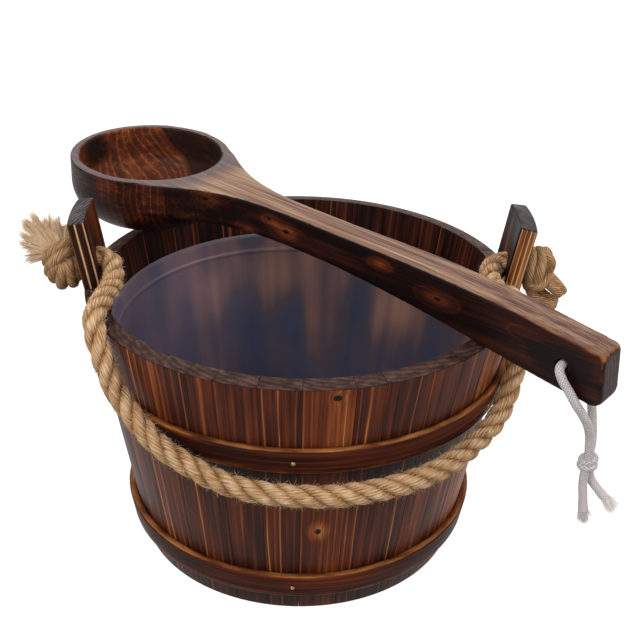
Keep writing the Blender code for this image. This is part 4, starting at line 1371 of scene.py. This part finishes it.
@dataclass
class RopeBail:
    """The rope handle with its lint, the stopper knots outside the ears and their tails."""

    wall: Wall
    rope: LaidRope = field(default_factory=LaidRope)
    strand: LaidStrand = field(default_factory=LaidStrand)
    socket: float = 1.6 * MM
    spacing: float = 0.62 * MM
    lint: int = 7600
    knot_lint: int = 170
    stub_lint: int = 90
    wrap_spacing: float = 0.7 * MM
    stub_spacing: float = 0.6 * MM
    stub_thickness: float = 5.8 * MM
    knots: dict[Side, Point] = field(default_factory=lambda: {
        Side.LEFT: (-144.3 * MM, 0.0, 178.0 * MM), Side.RIGHT: (142.3 * MM, 0.0, 177.0 * MM)})
    cores: dict[Side, Point] = field(default_factory=lambda: {
        Side.LEFT: (7.5 * MM, 9.6 * MM, 12.0 * MM), Side.RIGHT: (6.5 * MM, 8.5 * MM, 10.5 * MM)})
    wraps: dict[Side, tuple[tuple[Point, ...], ...]] = field(default_factory=lambda: {
        Side.LEFT: (
            ((7.6, 0.0, 14.5), (7.2, -5.0, 16.2), (6.0, -9.0, 16.9), (2.2, -11.0, 16.0), (-2.8, -11.0, 12.6),
             (-6.4, -8.0, 7.6), (-8.3, -2.0, 0.9)),
            ((8.0, 0.0, 9.0), (7.6, -8.0, 12.2), (5.6, -12.0, 13.0), (1.8, -13.8, 10.8), (-2.0, -12.8, 6.8),
             (-5.2, -9.0, 1.4), (-7.4, -3.0, -5.0)),
            ((3.6, -7.0, 8.5), (0.6, -11.2, 5.6), (-2.2, -11.5, 0.8), (-4.4, -8.0, -4.8), (-4.8, -2.0, -9.8)),
            ((4.4, -8.0, 7.7), (3.2, -12.5, 2.7), (1.4, -11.8, -3.8), (0.0, -7.2, -10.8), (-0.6, 0.0, -14.8)),
            ((5.8, -8.0, 7.7), (6.7, -12.2, 3.1), (7.0, -11.0, -3.8), (6.8, -6.8, -9.8), (6.2, 0.0, -13.4)),
            ((7.8, -6.0, 8.4), (9.6, -8.5, 3.4), (9.8, -6.8, -3.0), (8.8, -2.0, -8.4)),
        ),
        Side.RIGHT: (
            ((-4.4, 0.0, 12.4), (-5.6, -6.0, 10.6), (-6.8, -9.8, 6.0), (-7.2, -10.0, 0.0), (-6.2, -6.6, -7.0),
             (-3.3, 0.0, -11.6)),
            ((0.4, 0.0, 12.0), (0.5, -6.0, 9.8), (-0.6, -10.0, 5.0), (-1.9, -9.7, -1.8), (-2.7, -6.0, -8.4)),
            ((0.9, 0.0, 10.2), (4.3, -4.0, 10.6), (6.4, -5.0, 7.6), (6.4, -4.0, 3.4), (4.2, -3.0, -0.5)),
            ((-6.8, -7.6, -4.6), (-3.6, -9.6, -6.4), (0.4, -9.8, -5.6), (4.0, -7.8, -3.0), (6.4, -4.0, -1.4)),
        ),
    })
    fanned: tuple[tuple[Point, Point, float], ...] = (
        ((-3.6, -4.0, 11.5), (-17.5, -2.0, 28.4), 4.6), ((-3.2, -4.0, 11.0), (-20.2, -1.0, 24.2), 3.4),
        ((-1.8, -3.0, 12.0), (-9.0, 1.0, 26.0), 4.6), ((0.2, -3.0, 12.5), (-2.6, 2.0, 25.2), 4.2),
        ((2.6, -1.0, 12.5), (3.2, 3.0, 22.0), 2.6), ((-4.8, -3.0, 9.0), (-22.8, 0.0, 12.8), 4.6),
        ((-5.4, 0.0, 5.8), (-20.6, 3.0, 1.2), 2.6))
    stubs: tuple[tuple[Point, ...], ...] = (
        ((2.9, -3.0, 1.7), (9.3, -3.6, -4.0), (14.2, -4.0, -9.3), (17.4, -3.5, -13.9)),
        ((0.8, -6.4, -0.9), (6.5, -7.3, -6.3), (11.2, -7.5, -10.3), (14.5, -7.0, -13.9)),
        ((-5.0, -5.6, -8.6), (-2.4, -6.2, -13.8), (5.0, -6.0, -18.4), (13.2, -5.0, -21.8)),
        ((-1.0, -1.4, -8.0), (3.5, -1.8, -13.5), (9.0, -1.4, -18.0), (14.6, -0.6, -21.4)))
    route: tuple[Point, ...] = (
        (-121.5, 0.0, 0.0), (-115.6, -1.6, -1.2), (-112.3, -9.0, -3.3), (-110.7, -25.1, -5.1),
        (-112.6, -45.8, -3.3), (-115.1, -62.7, -4.1), (-114.6, -71.7, -7.4), (-112.4, -78.5, -13.0),
        (-108.3, -84.4, -23.4), (-103.4, -89.1, -35.1), (-96.8, -94.3, -44.7), (-88.2, -101.6, -52.9),
        (-79.6, -108.1, -59.5), (-70.1, -113.2, -64.4), (-60.1, -117.6, -68.4), (-49.1, -122.2, -72.3),
        (-35.5, -126.7, -75.3), (-20.9, -129.9, -76.7), (-5.9, -131.7, -77.2), (10.1, -131.8, -77.6),
        (26.3, -129.8, -77.6), (42.6, -125.5, -77.2), (59.4, -118.7, -76.7), (76.0, -108.4, -75.9),
        (90.0, -95.9, -74.5), (102.4, -82.5, -71.9), (112.9, -70.6, -66.6), (119.0, -60.6, -60.0),
        (123.2, -53.3, -50.8), (124.9, -50.0, -42.7), (126.9, -48.6, -26.9), (126.6, -49.6, -8.6),
        (121.0, -48.4, -1.4), (114.2, -42.6, 0.6), (110.6, -31.0, -0.9), (110.6, -17.5, -1.4),
        (112.6, -7.0, -0.9), (116.6, -1.2, -0.2), (121.5, 0.0, 0.0),
    )

    def path(self) -> Array:
        """The rope's middle line from knot to knot, through both ears."""
        level = self.wall.hinge.z
        outside = self.wall.outer(level) + self.socket
        inside = self.wall.outer(level) - self.wall.thickness / 2
        ends = [(-outside, 0.0, 0.0), (-inside, 0.0, 0.0)]
        others = [(inside, 0.0, 0.0), (outside, 0.0, 0.0)]
        points = np.array(ends + [tuple(np.array(point) * MM) for point in self.route] + others)
        return smooth_path(points + np.array(self.wall.hinge), self.spacing)

    def build(self, hemp: Material) -> None:
        path = self.path()
        skin = Skin()
        self.rope.add(skin, path)
        rope = place_on(skin.build("rope_bail", hemp, SOFT_FORM), "bail", "hemp_rope", "rope_handle")
        pieces = [self.hairs(path, hemp)]
        for side in Side:
            pieces += self.knot(side, hemp)
        float(travelled(path)[-1])

    def hairs(self, path: Array, hemp: Material) -> Object:
        """Short loose hairs that stand off the rope all over."""
        skin = Skin()
        self.fuzz(skin, path, self.rope.diameter, self.lint, np.random.default_rng(7), 20)
        return place_on(skin.build("rope_lint", hemp), "bail", "hemp_rope")

    def fuzz(self, skin: Skin, path: Array, diameter: float, count: int, rng: np.random.Generator,
             spare: int = 2) -> None:
        """Add hairs that start just under a tube's surface and lean along it, short of its ends."""
        along, first, second = path_frames(path)
        pick = rng.integers(spare, len(path) - spare, count)
        turn = rng.uniform(0.0, FULL_TURN, count)
        out = first[pick] * np.cos(turn)[:, None] + second[pick] * np.sin(turn)[:, None]
        lean = rng.choice([-1.0, 1.0], count) * rng.uniform(0.4, 2.4, count)
        direction = out + along[pick] * lean[:, None]
        direction /= np.linalg.norm(direction, axis=1, keepdims=True)
        skin.add_fibres(path[pick] + out * diameter * 0.42, direction,
                        rng.uniform(0.9, 3.7, count) * MM, rng.uniform(0.11, 0.22, count) * MM,
                        rng.normal(0.0, 0.8 * MM, (count, 3)))

    def knot(self, side: Side, hemp: Material) -> list[Object]:
        """One stopper knot of single strands over a core, and its tail, frayed left and blunt right."""
        rng = np.random.default_rng(20 + side.value)
        name = side.name.lower()
        centre = np.array(self.wall.axis) + np.array(self.knots[side])
        knot = Skin()
        rows, around = 20, 32
        turn = np.linspace(0.0, math.pi, rows)
        core = np.stack([0 * turn, 0 * turn, np.cos(turn)], axis=1) * self.cores[side][2]
        round_core = Tube(2.0, around)
        widths = np.maximum(np.sin(turn), 0.02)
        grown = Skin()
        round_core.add(grown, core, widths)
        shape = np.array([self.cores[side][0], self.cores[side][1], 1.0])
        # The core shows only in the gaps between the wraps, and its groove value paints it dark as their
        # shade.
        knot.add_grid(grown.points[0].reshape(rows, around, 3) * shape + centre, groove=np.array([[0.9]]))
        for wrap in self.wraps[side]:
            front = np.array(wrap) * MM
            loop = np.concatenate([front, front[::-1] * np.array([1.0, -1.0, 1.0])])
            line = smooth_path(loop, self.wrap_spacing) + centre
            self.strand.add(knot, line, 1.0, 2.5 * MM)
            self.fuzz(knot, line, self.strand.diameter, self.knot_lint, rng)
        piece = knot.build(f"rope_knot_{name}_laid", hemp, SOFT_FORM)
        place_on(piece, "bucket", "hemp_rope", f"rope_knot_{name}")
        tail = Skin()
        if side is Side.LEFT:
            for start, end, spread in self.fanned:
                tuft = Tuft(tip=spread * 0.85 * MM, hairs=round(6 * spread), width=0.6 * MM, pale=0.65)
                tuft.add(tail, centre + np.array(start) * MM, centre + np.array(end) * MM, rng)
        else:
            for stub in self.stubs:
                path = smooth_path(np.array(stub) * MM, self.stub_spacing) + centre
                LaidStrand(diameter=self.stub_thickness).add(tail, path, 1.0, 2.2 * MM)
                self.fuzz(tail, path, self.stub_thickness, self.stub_lint, rng)
                Tuft(1.6 * MM, 2.4 * MM, 5, 8, 0.35 * MM, 0.6 * MM, 0.2).add(tail, path[-8], path[-1], rng)
        piece = tail.build(f"rope_tail_{name}_frayed", hemp, SOFT_FORM)
        return [bpy.data.objects[f"rope_knot_{name}_laid"],
                place_on(piece, "bucket", "hemp_rope", f"rope_tail_{name}")]


# The ladle


@dataclass
class Ladle:
    """The ladle, bowl and handle of one piece of wood, turned and tilted where it lies."""

    wall: Wall
    bearing: float = math.radians(137.47)
    overhang: float = 4.76 * MM
    seat: float = 0.57 * MM
    turn: float = math.radians(-39.56)
    tilt: float = math.radians(1.58)
    radius: float = 51.6 * MM
    thickness: float = 5.8 * MM
    straight: float = 16.4 * MM
    depth: float = 42.8 * MM
    foot: float = 21.7 * MM
    floor: float = 6.0 * MM
    hole: Point = (312.5 * MM, 0.0, -28.5 * MM)
    hole_radius: float = 3.75 * MM
    slant: float = 0.09
    bore_reach: float = 0.03
    voxel: float = 0.78 * MM
    rubbed_from: float = 0.23
    rubbed_over: float = 0.09
    stations: tuple[tuple[float, float, float, float], ...] = (
        (24.0, 44.6, -0.2, -21.0), (31.0, 42.6, -0.2, -21.6), (38.0, 38.8, -0.3, -22.2),
        (46.0, 33.2, -0.4, -22.8), (54.0, 27.6, -0.5, -23.2), (63.0, 22.4, -0.6, -23.4),
        (73.0, 17.8, -0.8, -23.5), (85.0, 13.8, -1.1, -23.5), (100.0, 11.0, -1.5, -23.5),
        (118.0, 9.6, -1.9, -23.6), (160.0, 9.6, -2.8, -24.7), (190.0, 10.2, -3.1, -26.9),
        (220.0, 10.8, -3.6, -29.9), (250.0, 10.9, -5.2, -34.0), (280.0, 10.9, -7.5, -38.8),
        (327.5, 10.3, -13.6, -46.2), (331.5, 10.2, -14.0, -45.4), (334.0, 9.8, -14.6, -43.4),
        (335.3, 8.9, -16.0, -41.0),
    )

    @property
    def place(self) -> Matrix:
        """Where the ladle lies: its own X runs along the handle from the middle of the bowl's rim."""
        wall = self.wall
        reach = wall.rim_radius + self.overhang
        height = wall.rim_height + wall.thickness * math.sin(wall.lean) + self.seat + self.depth
        middle = wall.axis + Vector((reach * math.cos(self.bearing), reach * math.sin(self.bearing), height))
        turn = Matrix.Rotation(self.turn, 4, "Z") @ Matrix.Rotation(self.tilt, 4, "Y")
        return Matrix.Translation(middle) @ turn

    def put(self, points: Array) -> Array:
        """Carry points from the ladle's own frame to where it lies."""
        matrix = np.array(self.place)
        return points @ matrix[:3, :3].T + matrix[:3, 3]

    def at(self, along: float, across: float, up: float) -> Point:
        """A point of the ladle's own frame in millimetres, carried to where it lies."""
        return tuple(self.put(np.array([along, across, up]) * MM))

    def turned(self, radius: float, top: float, depth: float, foot: float, name: str) -> Object:
        """A round solid: upright from the top to the straight depth, then an ellipse down to the foot."""
        angle = np.linspace(0.0, math.pi / 2, 14)
        across = np.concatenate([[0.3 * MM, radius, radius], foot + (radius - foot) * np.cos(angle[1:]),
                                 [0.3 * MM]])
        low = -self.straight - (depth - self.straight) * np.sin(angle[1:])
        height = np.concatenate([[top, top, -self.straight], low, [-depth]])
        turn = once_round(128)
        grid = np.stack(np.broadcast_arrays(across[:, None] * np.cos(turn), across[:, None] * np.sin(turn),
                                            height[:, None]), axis=-1)
        skin = Skin()
        skin.add_grid(self.put(grid))
        return skin.build(name, bpy.data.materials.new("blank"))

    def section(self, distance: Array) -> tuple[Array, Array, Array]:
        """Half width, top and bottom of the handle at distances, smoothed along it."""
        table = np.array(self.stations) * MM
        lines = [np.interp(distance, table[:, 0], table[:, column]) for column in (1, 2, 3)]
        window, last = 11, 4
        kernel = np.ones(window) / window
        return tuple(
            np.append(np.convolve(np.pad(line[:-last], window // 2, mode="edge"), kernel, mode="valid"),
                      line[-last:])
            for line in lines)

    def handle(self) -> Object:
        """The neck and handle: a six-sided section with eased edges, lofted through the stations."""
        distance = np.concatenate([np.arange(24.0, 327.5, 2.0), [327.5, 331.5, 334.0, 335.3]]) * MM
        half, top, low = self.section(distance)
        ease_top, ease_low = 1.0 * MM, 3.0 * MM
        right = np.stack([
            np.stack([half - ease_top, top], axis=1),
            np.stack([half, top - ease_top], axis=1),
            np.stack([half, low + ease_low], axis=1),
            np.stack([half - ease_low * 0.3, low + ease_low * 0.3], axis=1),
            np.stack([half - ease_low, low], axis=1),
        ], axis=1)
        section = np.concatenate([right, right[:, ::-1] * np.array([-1.0, 1.0])], axis=1)
        aslant = self.slant * np.clip((distance / MM - 300.0) / 30.0, 0.0, 1.0)
        along = (distance[:, None] + aslant[:, None] * (top[:, None] - section[..., 1]))[..., None]
        skin = Skin()
        skin.add_grid(self.put(np.concatenate([along, section], axis=2)))
        return skin.build("handle_blank", bpy.data.materials.new("blank"))

    def rub(self, piece: Object) -> None:
        """Mark where hands and shelves rub: along the handle's upper edges and round its end face."""
        matrix = np.array(self.place)
        x, y, z = ((points_of(piece.data) - matrix[:3, 3]) @ matrix[:3, :3]).T
        table = np.array(self.stations) * MM
        half, top, low = (np.interp(x, table[:, 0], table[:, column]) for column in (1, 2, 3))
        near = 1.3 * MM
        side = np.abs(np.abs(y) - half)
        facing = np.where(y < 0, 1.0, 0.35)
        far_along = np.clip((x - self.rubbed_from) / self.rubbed_over, 0.0, 1.0)
        upper = 0.8 * np.exp(-((side**2 + (z - top) ** 2) / near**2)) * far_along * facing
        end = np.abs(x - 334.0 * MM - self.slant * (top - z))
        last = 0.8 * np.exp(-((end**2 + (z - top) ** 2) / near**2))
        last += 0.4 * np.exp(-((end**2 + side**2) / near**2)) * facing
        last *= z > low + 12 * MM
        attribute = piece.data.attributes.new("wear", "FLOAT", "POINT")
        attribute.data.foreach_set("value", np.clip(upper + last, 0.0, 1.0).astype(np.float32))

    def build(self, wood: Material) -> Object:
        """Join bowl and handle, hollow the bowl, bore the end and round every edge with a fine remesh."""
        ladle = self.turned(self.radius, 0.0, self.depth, self.foot, "ladle_wood")
        cut_or_join(ladle, self.handle(), "UNION")
        hollow = self.turned(self.radius - self.thickness, self.thickness, self.depth - self.floor,
                             self.foot - self.thickness, "hollow")
        cut_or_join(ladle, hollow, "DIFFERENCE")
        turn = once_round(32)
        ring = np.stack([np.cos(turn), 0 * turn, np.sin(turn)], axis=1) * self.hole_radius
        ends = np.array([[[0.0, -self.bore_reach, 0.0]], [[0.0, self.bore_reach, 0.0]]])
        bore = Skin()
        bore.add_grid(self.put(ring[None] + ends + np.array(self.hole)))
        cut_or_join(ladle, bore.build("bore", wood), "DIFFERENCE")
        remesh = ladle.modifiers.new("fine", "REMESH")
        remesh.mode = "VOXEL"
        remesh.voxel_size = self.voxel
        remesh.use_smooth_shade = True
        smooth = ladle.modifiers.new("eased", "SMOOTH")
        smooth.factor = 0.5
        smooth.iterations = 4
        settle(ladle)
        self.rub(ladle)
        ladle.data.materials.clear()
        ladle.data.materials.append(wood)
        return place_on(ladle, "ladle", "ladle_wood", "ladle")


@dataclass
class LadleCord:
    """The cotton cord through the ladle's end: a loop, its knot and two frayed tails."""

    ladle: Ladle
    braid: BraidedTube = field(default_factory=BraidedTube)
    knot: Point = (332.4, 0.0, -85.7)
    spacing: float = 0.33 * MM
    loop: tuple[Point, ...] = (
        (333.2, -2.4, -84.0), (333.4, -2.6, -80.0), (333.0, -3.0, -75.0), (332.4, -4.0, -67.0),
        (331.5, -7.2, -58.8), (329.2, -10.8, -51.4), (325.6, -13.6, -45.0), (321.2, -14.2, -39.2),
        (316.8, -14.6, -34.0), (313.6, -13.4, -29.9), (312.5, -9.8, -28.5), (312.5, 0.0, -28.5),
        (312.5, 9.8, -28.5), (313.4, 13.4, -30.2), (315.6, 14.6, -35.5), (318.6, 14.2, -43.0),
        (321.8, 12.4, -51.0), (325.4, 9.4, -59.0), (329.2, 5.4, -67.0), (331.2, 3.2, -75.0),
        (331.4, 2.6, -80.0), (331.6, 2.4, -84.0),
    )
    tails: dict[str, tuple[Point, ...]] = field(default_factory=lambda: {
        "long": ((332.8, -2.8, -88.0), (333.0, -3.2, -94.2), (333.4, -3.4, -99.0), (334.6, -3.8, -104.5),
                 (335.6, -4.0, -110.0), (336.8, -4.2, -115.0)),
        "short": ((332.8, 2.8, -88.0), (333.0, 3.2, -94.0), (334.6, 3.4, -98.0), (338.4, 3.8, -102.0),
                  (342.6, 4.2, -105.4), (345.5, 4.4, -107.4)),
    })

    def wraps(self) -> list[Array]:
        """The two turns of the knot, as tilted rings, and the middle where they cross."""
        turn = np.linspace(0.0, FULL_TURN, 90)
        made = []
        for height, tilt, twist, radius in ((1.9, 0.34, 0.4, 3.0), (-1.9, -0.20, 2.6, 3.3)):
            up = height + radius * tilt * np.cos(turn - twist)
            ring = np.stack([radius * np.cos(turn), radius * np.sin(turn), up], axis=1)
            made.append((ring + np.array(self.knot)) * MM)
        return made

    def build(self, cotton: Material) -> None:
        put = self.ladle.put
        path = smooth_path(put(np.array(self.loop) * MM), self.spacing)
        skin = Skin()
        self.braid.add(skin, path, 0.96)
        loop = place_on(skin.build("hanging_cord", cotton, SOFT_FORM), "ladle", "cotton_cord", "ladle_cord")
        knot = Skin()
        for ring in self.wraps():
            self.braid.add(knot, put(ring), 0.94)
        pieces = [place_on(knot.build("hanging_cord_knot", cotton, SOFT_FORM), "ladle", "cotton_cord",
                           "ladle_cord_knot")]
        rng = np.random.default_rng(5)
        for name, points in self.tails.items():
            line = smooth_path(put(np.array(points) * MM), self.spacing)
            tail = Skin()
            swell = np.interp(travelled(line) / travelled(line)[-1], [0.0, 0.7, 1.0], [0.94, 0.94, 1.12])
            self.braid.add(tail, line, swell, 1.2 * MM)
            run = line[-1] - line[-12]
            run /= np.linalg.norm(run)
            for spread, reach, curl in ((4.4, 5.4, 1.0), (2.8, 6.6, 0.8)):
                tuft = Tuft(2.2 * MM, spread * MM, 10, 16, 0.30 * MM, curl * MM)
                tuft.add(tail, line[-1] - run * 3.4 * MM, line[-1] + run * reach * MM, rng)
            piece = tail.build(f"hanging_cord_tail_{name}", cotton, SOFT_FORM)
            pieces.append(place_on(piece, "ladle", "cotton_cord", f"ladle_cord_tail_{name}"))
        float(travelled(path)[-1])


def main() -> None:
    """Build the camera, the light and every sub-assembly."""
    logging.basicConfig(level=logging.INFO, format="%(message)s", stream=sys.stdout)
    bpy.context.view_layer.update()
    swing = next(joint for joint in frame["joints"] if joint["name"] == "bail_swing")
    wall = Wall(Vector((swing["pos_m"][0], swing["pos_m"][1], 0.0)))
    Viewpoint().build(wall.axis)
    Studio().build()

    ladle = Ladle(wall)
    RopeBail(wall).build(HempFibre().build())
    LadleCord(ladle).build(BraidedCotton().build())

    staves = Staves(wall)
    hoops = Hoops(wall)
    # Heights of the hoops' lower edges, where the staves get a painted shadow.
    hoop_shadow_heights = tuple(hoops.lows.values())
    knots = (Mark(wall.face(-81.9, 164 * MM), 7 * MM, 2.6 * MM, 0.02, 0.25, 0.85),
             Mark(wall.face(-84.8, 65 * MM), 9 * MM, 1.8 * MM, 0.42, 0.25, 1.3))
    staves.build(
        CharredSpruce("charred_spruce_stave", hoop_shadow_heights=hoop_shadow_heights, light=0.07, year_contrast=0.17, arris=0.9,
                      hub=tuple(wall.axis)).build(),
        CharredSpruce("charred_spruce_knotty", marks=knots, light=0.15, contrast=0.40, hoop_shadow_heights=hoop_shadow_heights,
                      year_contrast=0.17, arris=0.9, hub=tuple(wall.axis)).build(),
        {side: staves.ear_wood(side) for side in Side},
        CharredSpruce("charred_spruce_board", plank=True, grain=(0.0, 1.0, 0.0)).build(),
    )
    bent = CharredSpruce("charred_spruce_hoop", ring=6 * MM, light=0.0, contrast=0.36, grain=(0.0, 0.0, 0.0),
                         worn=True, gloss=0.05)
    hoops.build(bent.build(), DrawnBrass().build())
    Liner(wall).build(CloudyPolythene().build())

    figure = (
        Mark(ladle.at(-45, -8, -8), 16 * MM, 4.0 * MM, -0.62, 1.6, 1.0),
        Mark(ladle.at(1.5, 45.7, -11), 14 * MM, 0.0, 0.06, 1.4, 1.0),
        Mark(ladle.at(67.7, -20.2, -6), 9.5 * MM, 1.2 * MM, 0.34, 1.2, 2.8),
        Mark(ladle.at(124, -9.6, -13.6), 9.5 * MM, 1.3 * MM, 0.50, 1.4, 1.9),
        Mark(ladle.at(111, -10.1, -9), 7 * MM, 1.0 * MM, 0.34, 1.0, 1.6),
        Mark(ladle.at(95, -11.7, -21), 7 * MM, 0.0, 0.36, 0.8, 1.8),
        Mark(ladle.at(194, -10.2, -10), 6.5 * MM, 0.0, 0.66, 1.2, 2.2),
        Mark(ladle.at(234, -10.8, -18), 8.5 * MM, 1.0 * MM, 0.40, 1.4, 2.4),
        Mark(ladle.at(295, -10.7, -18), 6.5 * MM, 0.0, 0.17, 1.0, 3.6),
        Mark(ladle.at(312, -11.0, -24), 17 * MM, 0.0, -0.30, 0.4, 2.0),
    )
    sweep = Vector((1.0, 0.10, 0.13))
    band = tuple(sweep.dot(wall.axis) + edge * MM for edge in (-98.0, -55.5))
    grain = tuple(ladle.place.to_3x3() @ Vector((1.0, 0.0, 0.0)))
    ladle.build(CharredSpruce("charred_spruce_ladle", turned=ladle.place, bowl=sweep, band=band,
                              marks=figure, grain=grain, years=(1.0, 0.0, 0.15), year=1.6 * MM, light=-0.24,
                              contrast=0.38, sawn=("#0a0504", "#1c0e0a", "#341e16", "#523528", "#765543"),
                              ring=4 * MM, worn=True).build())


if __name__ == "__main__":
    main()
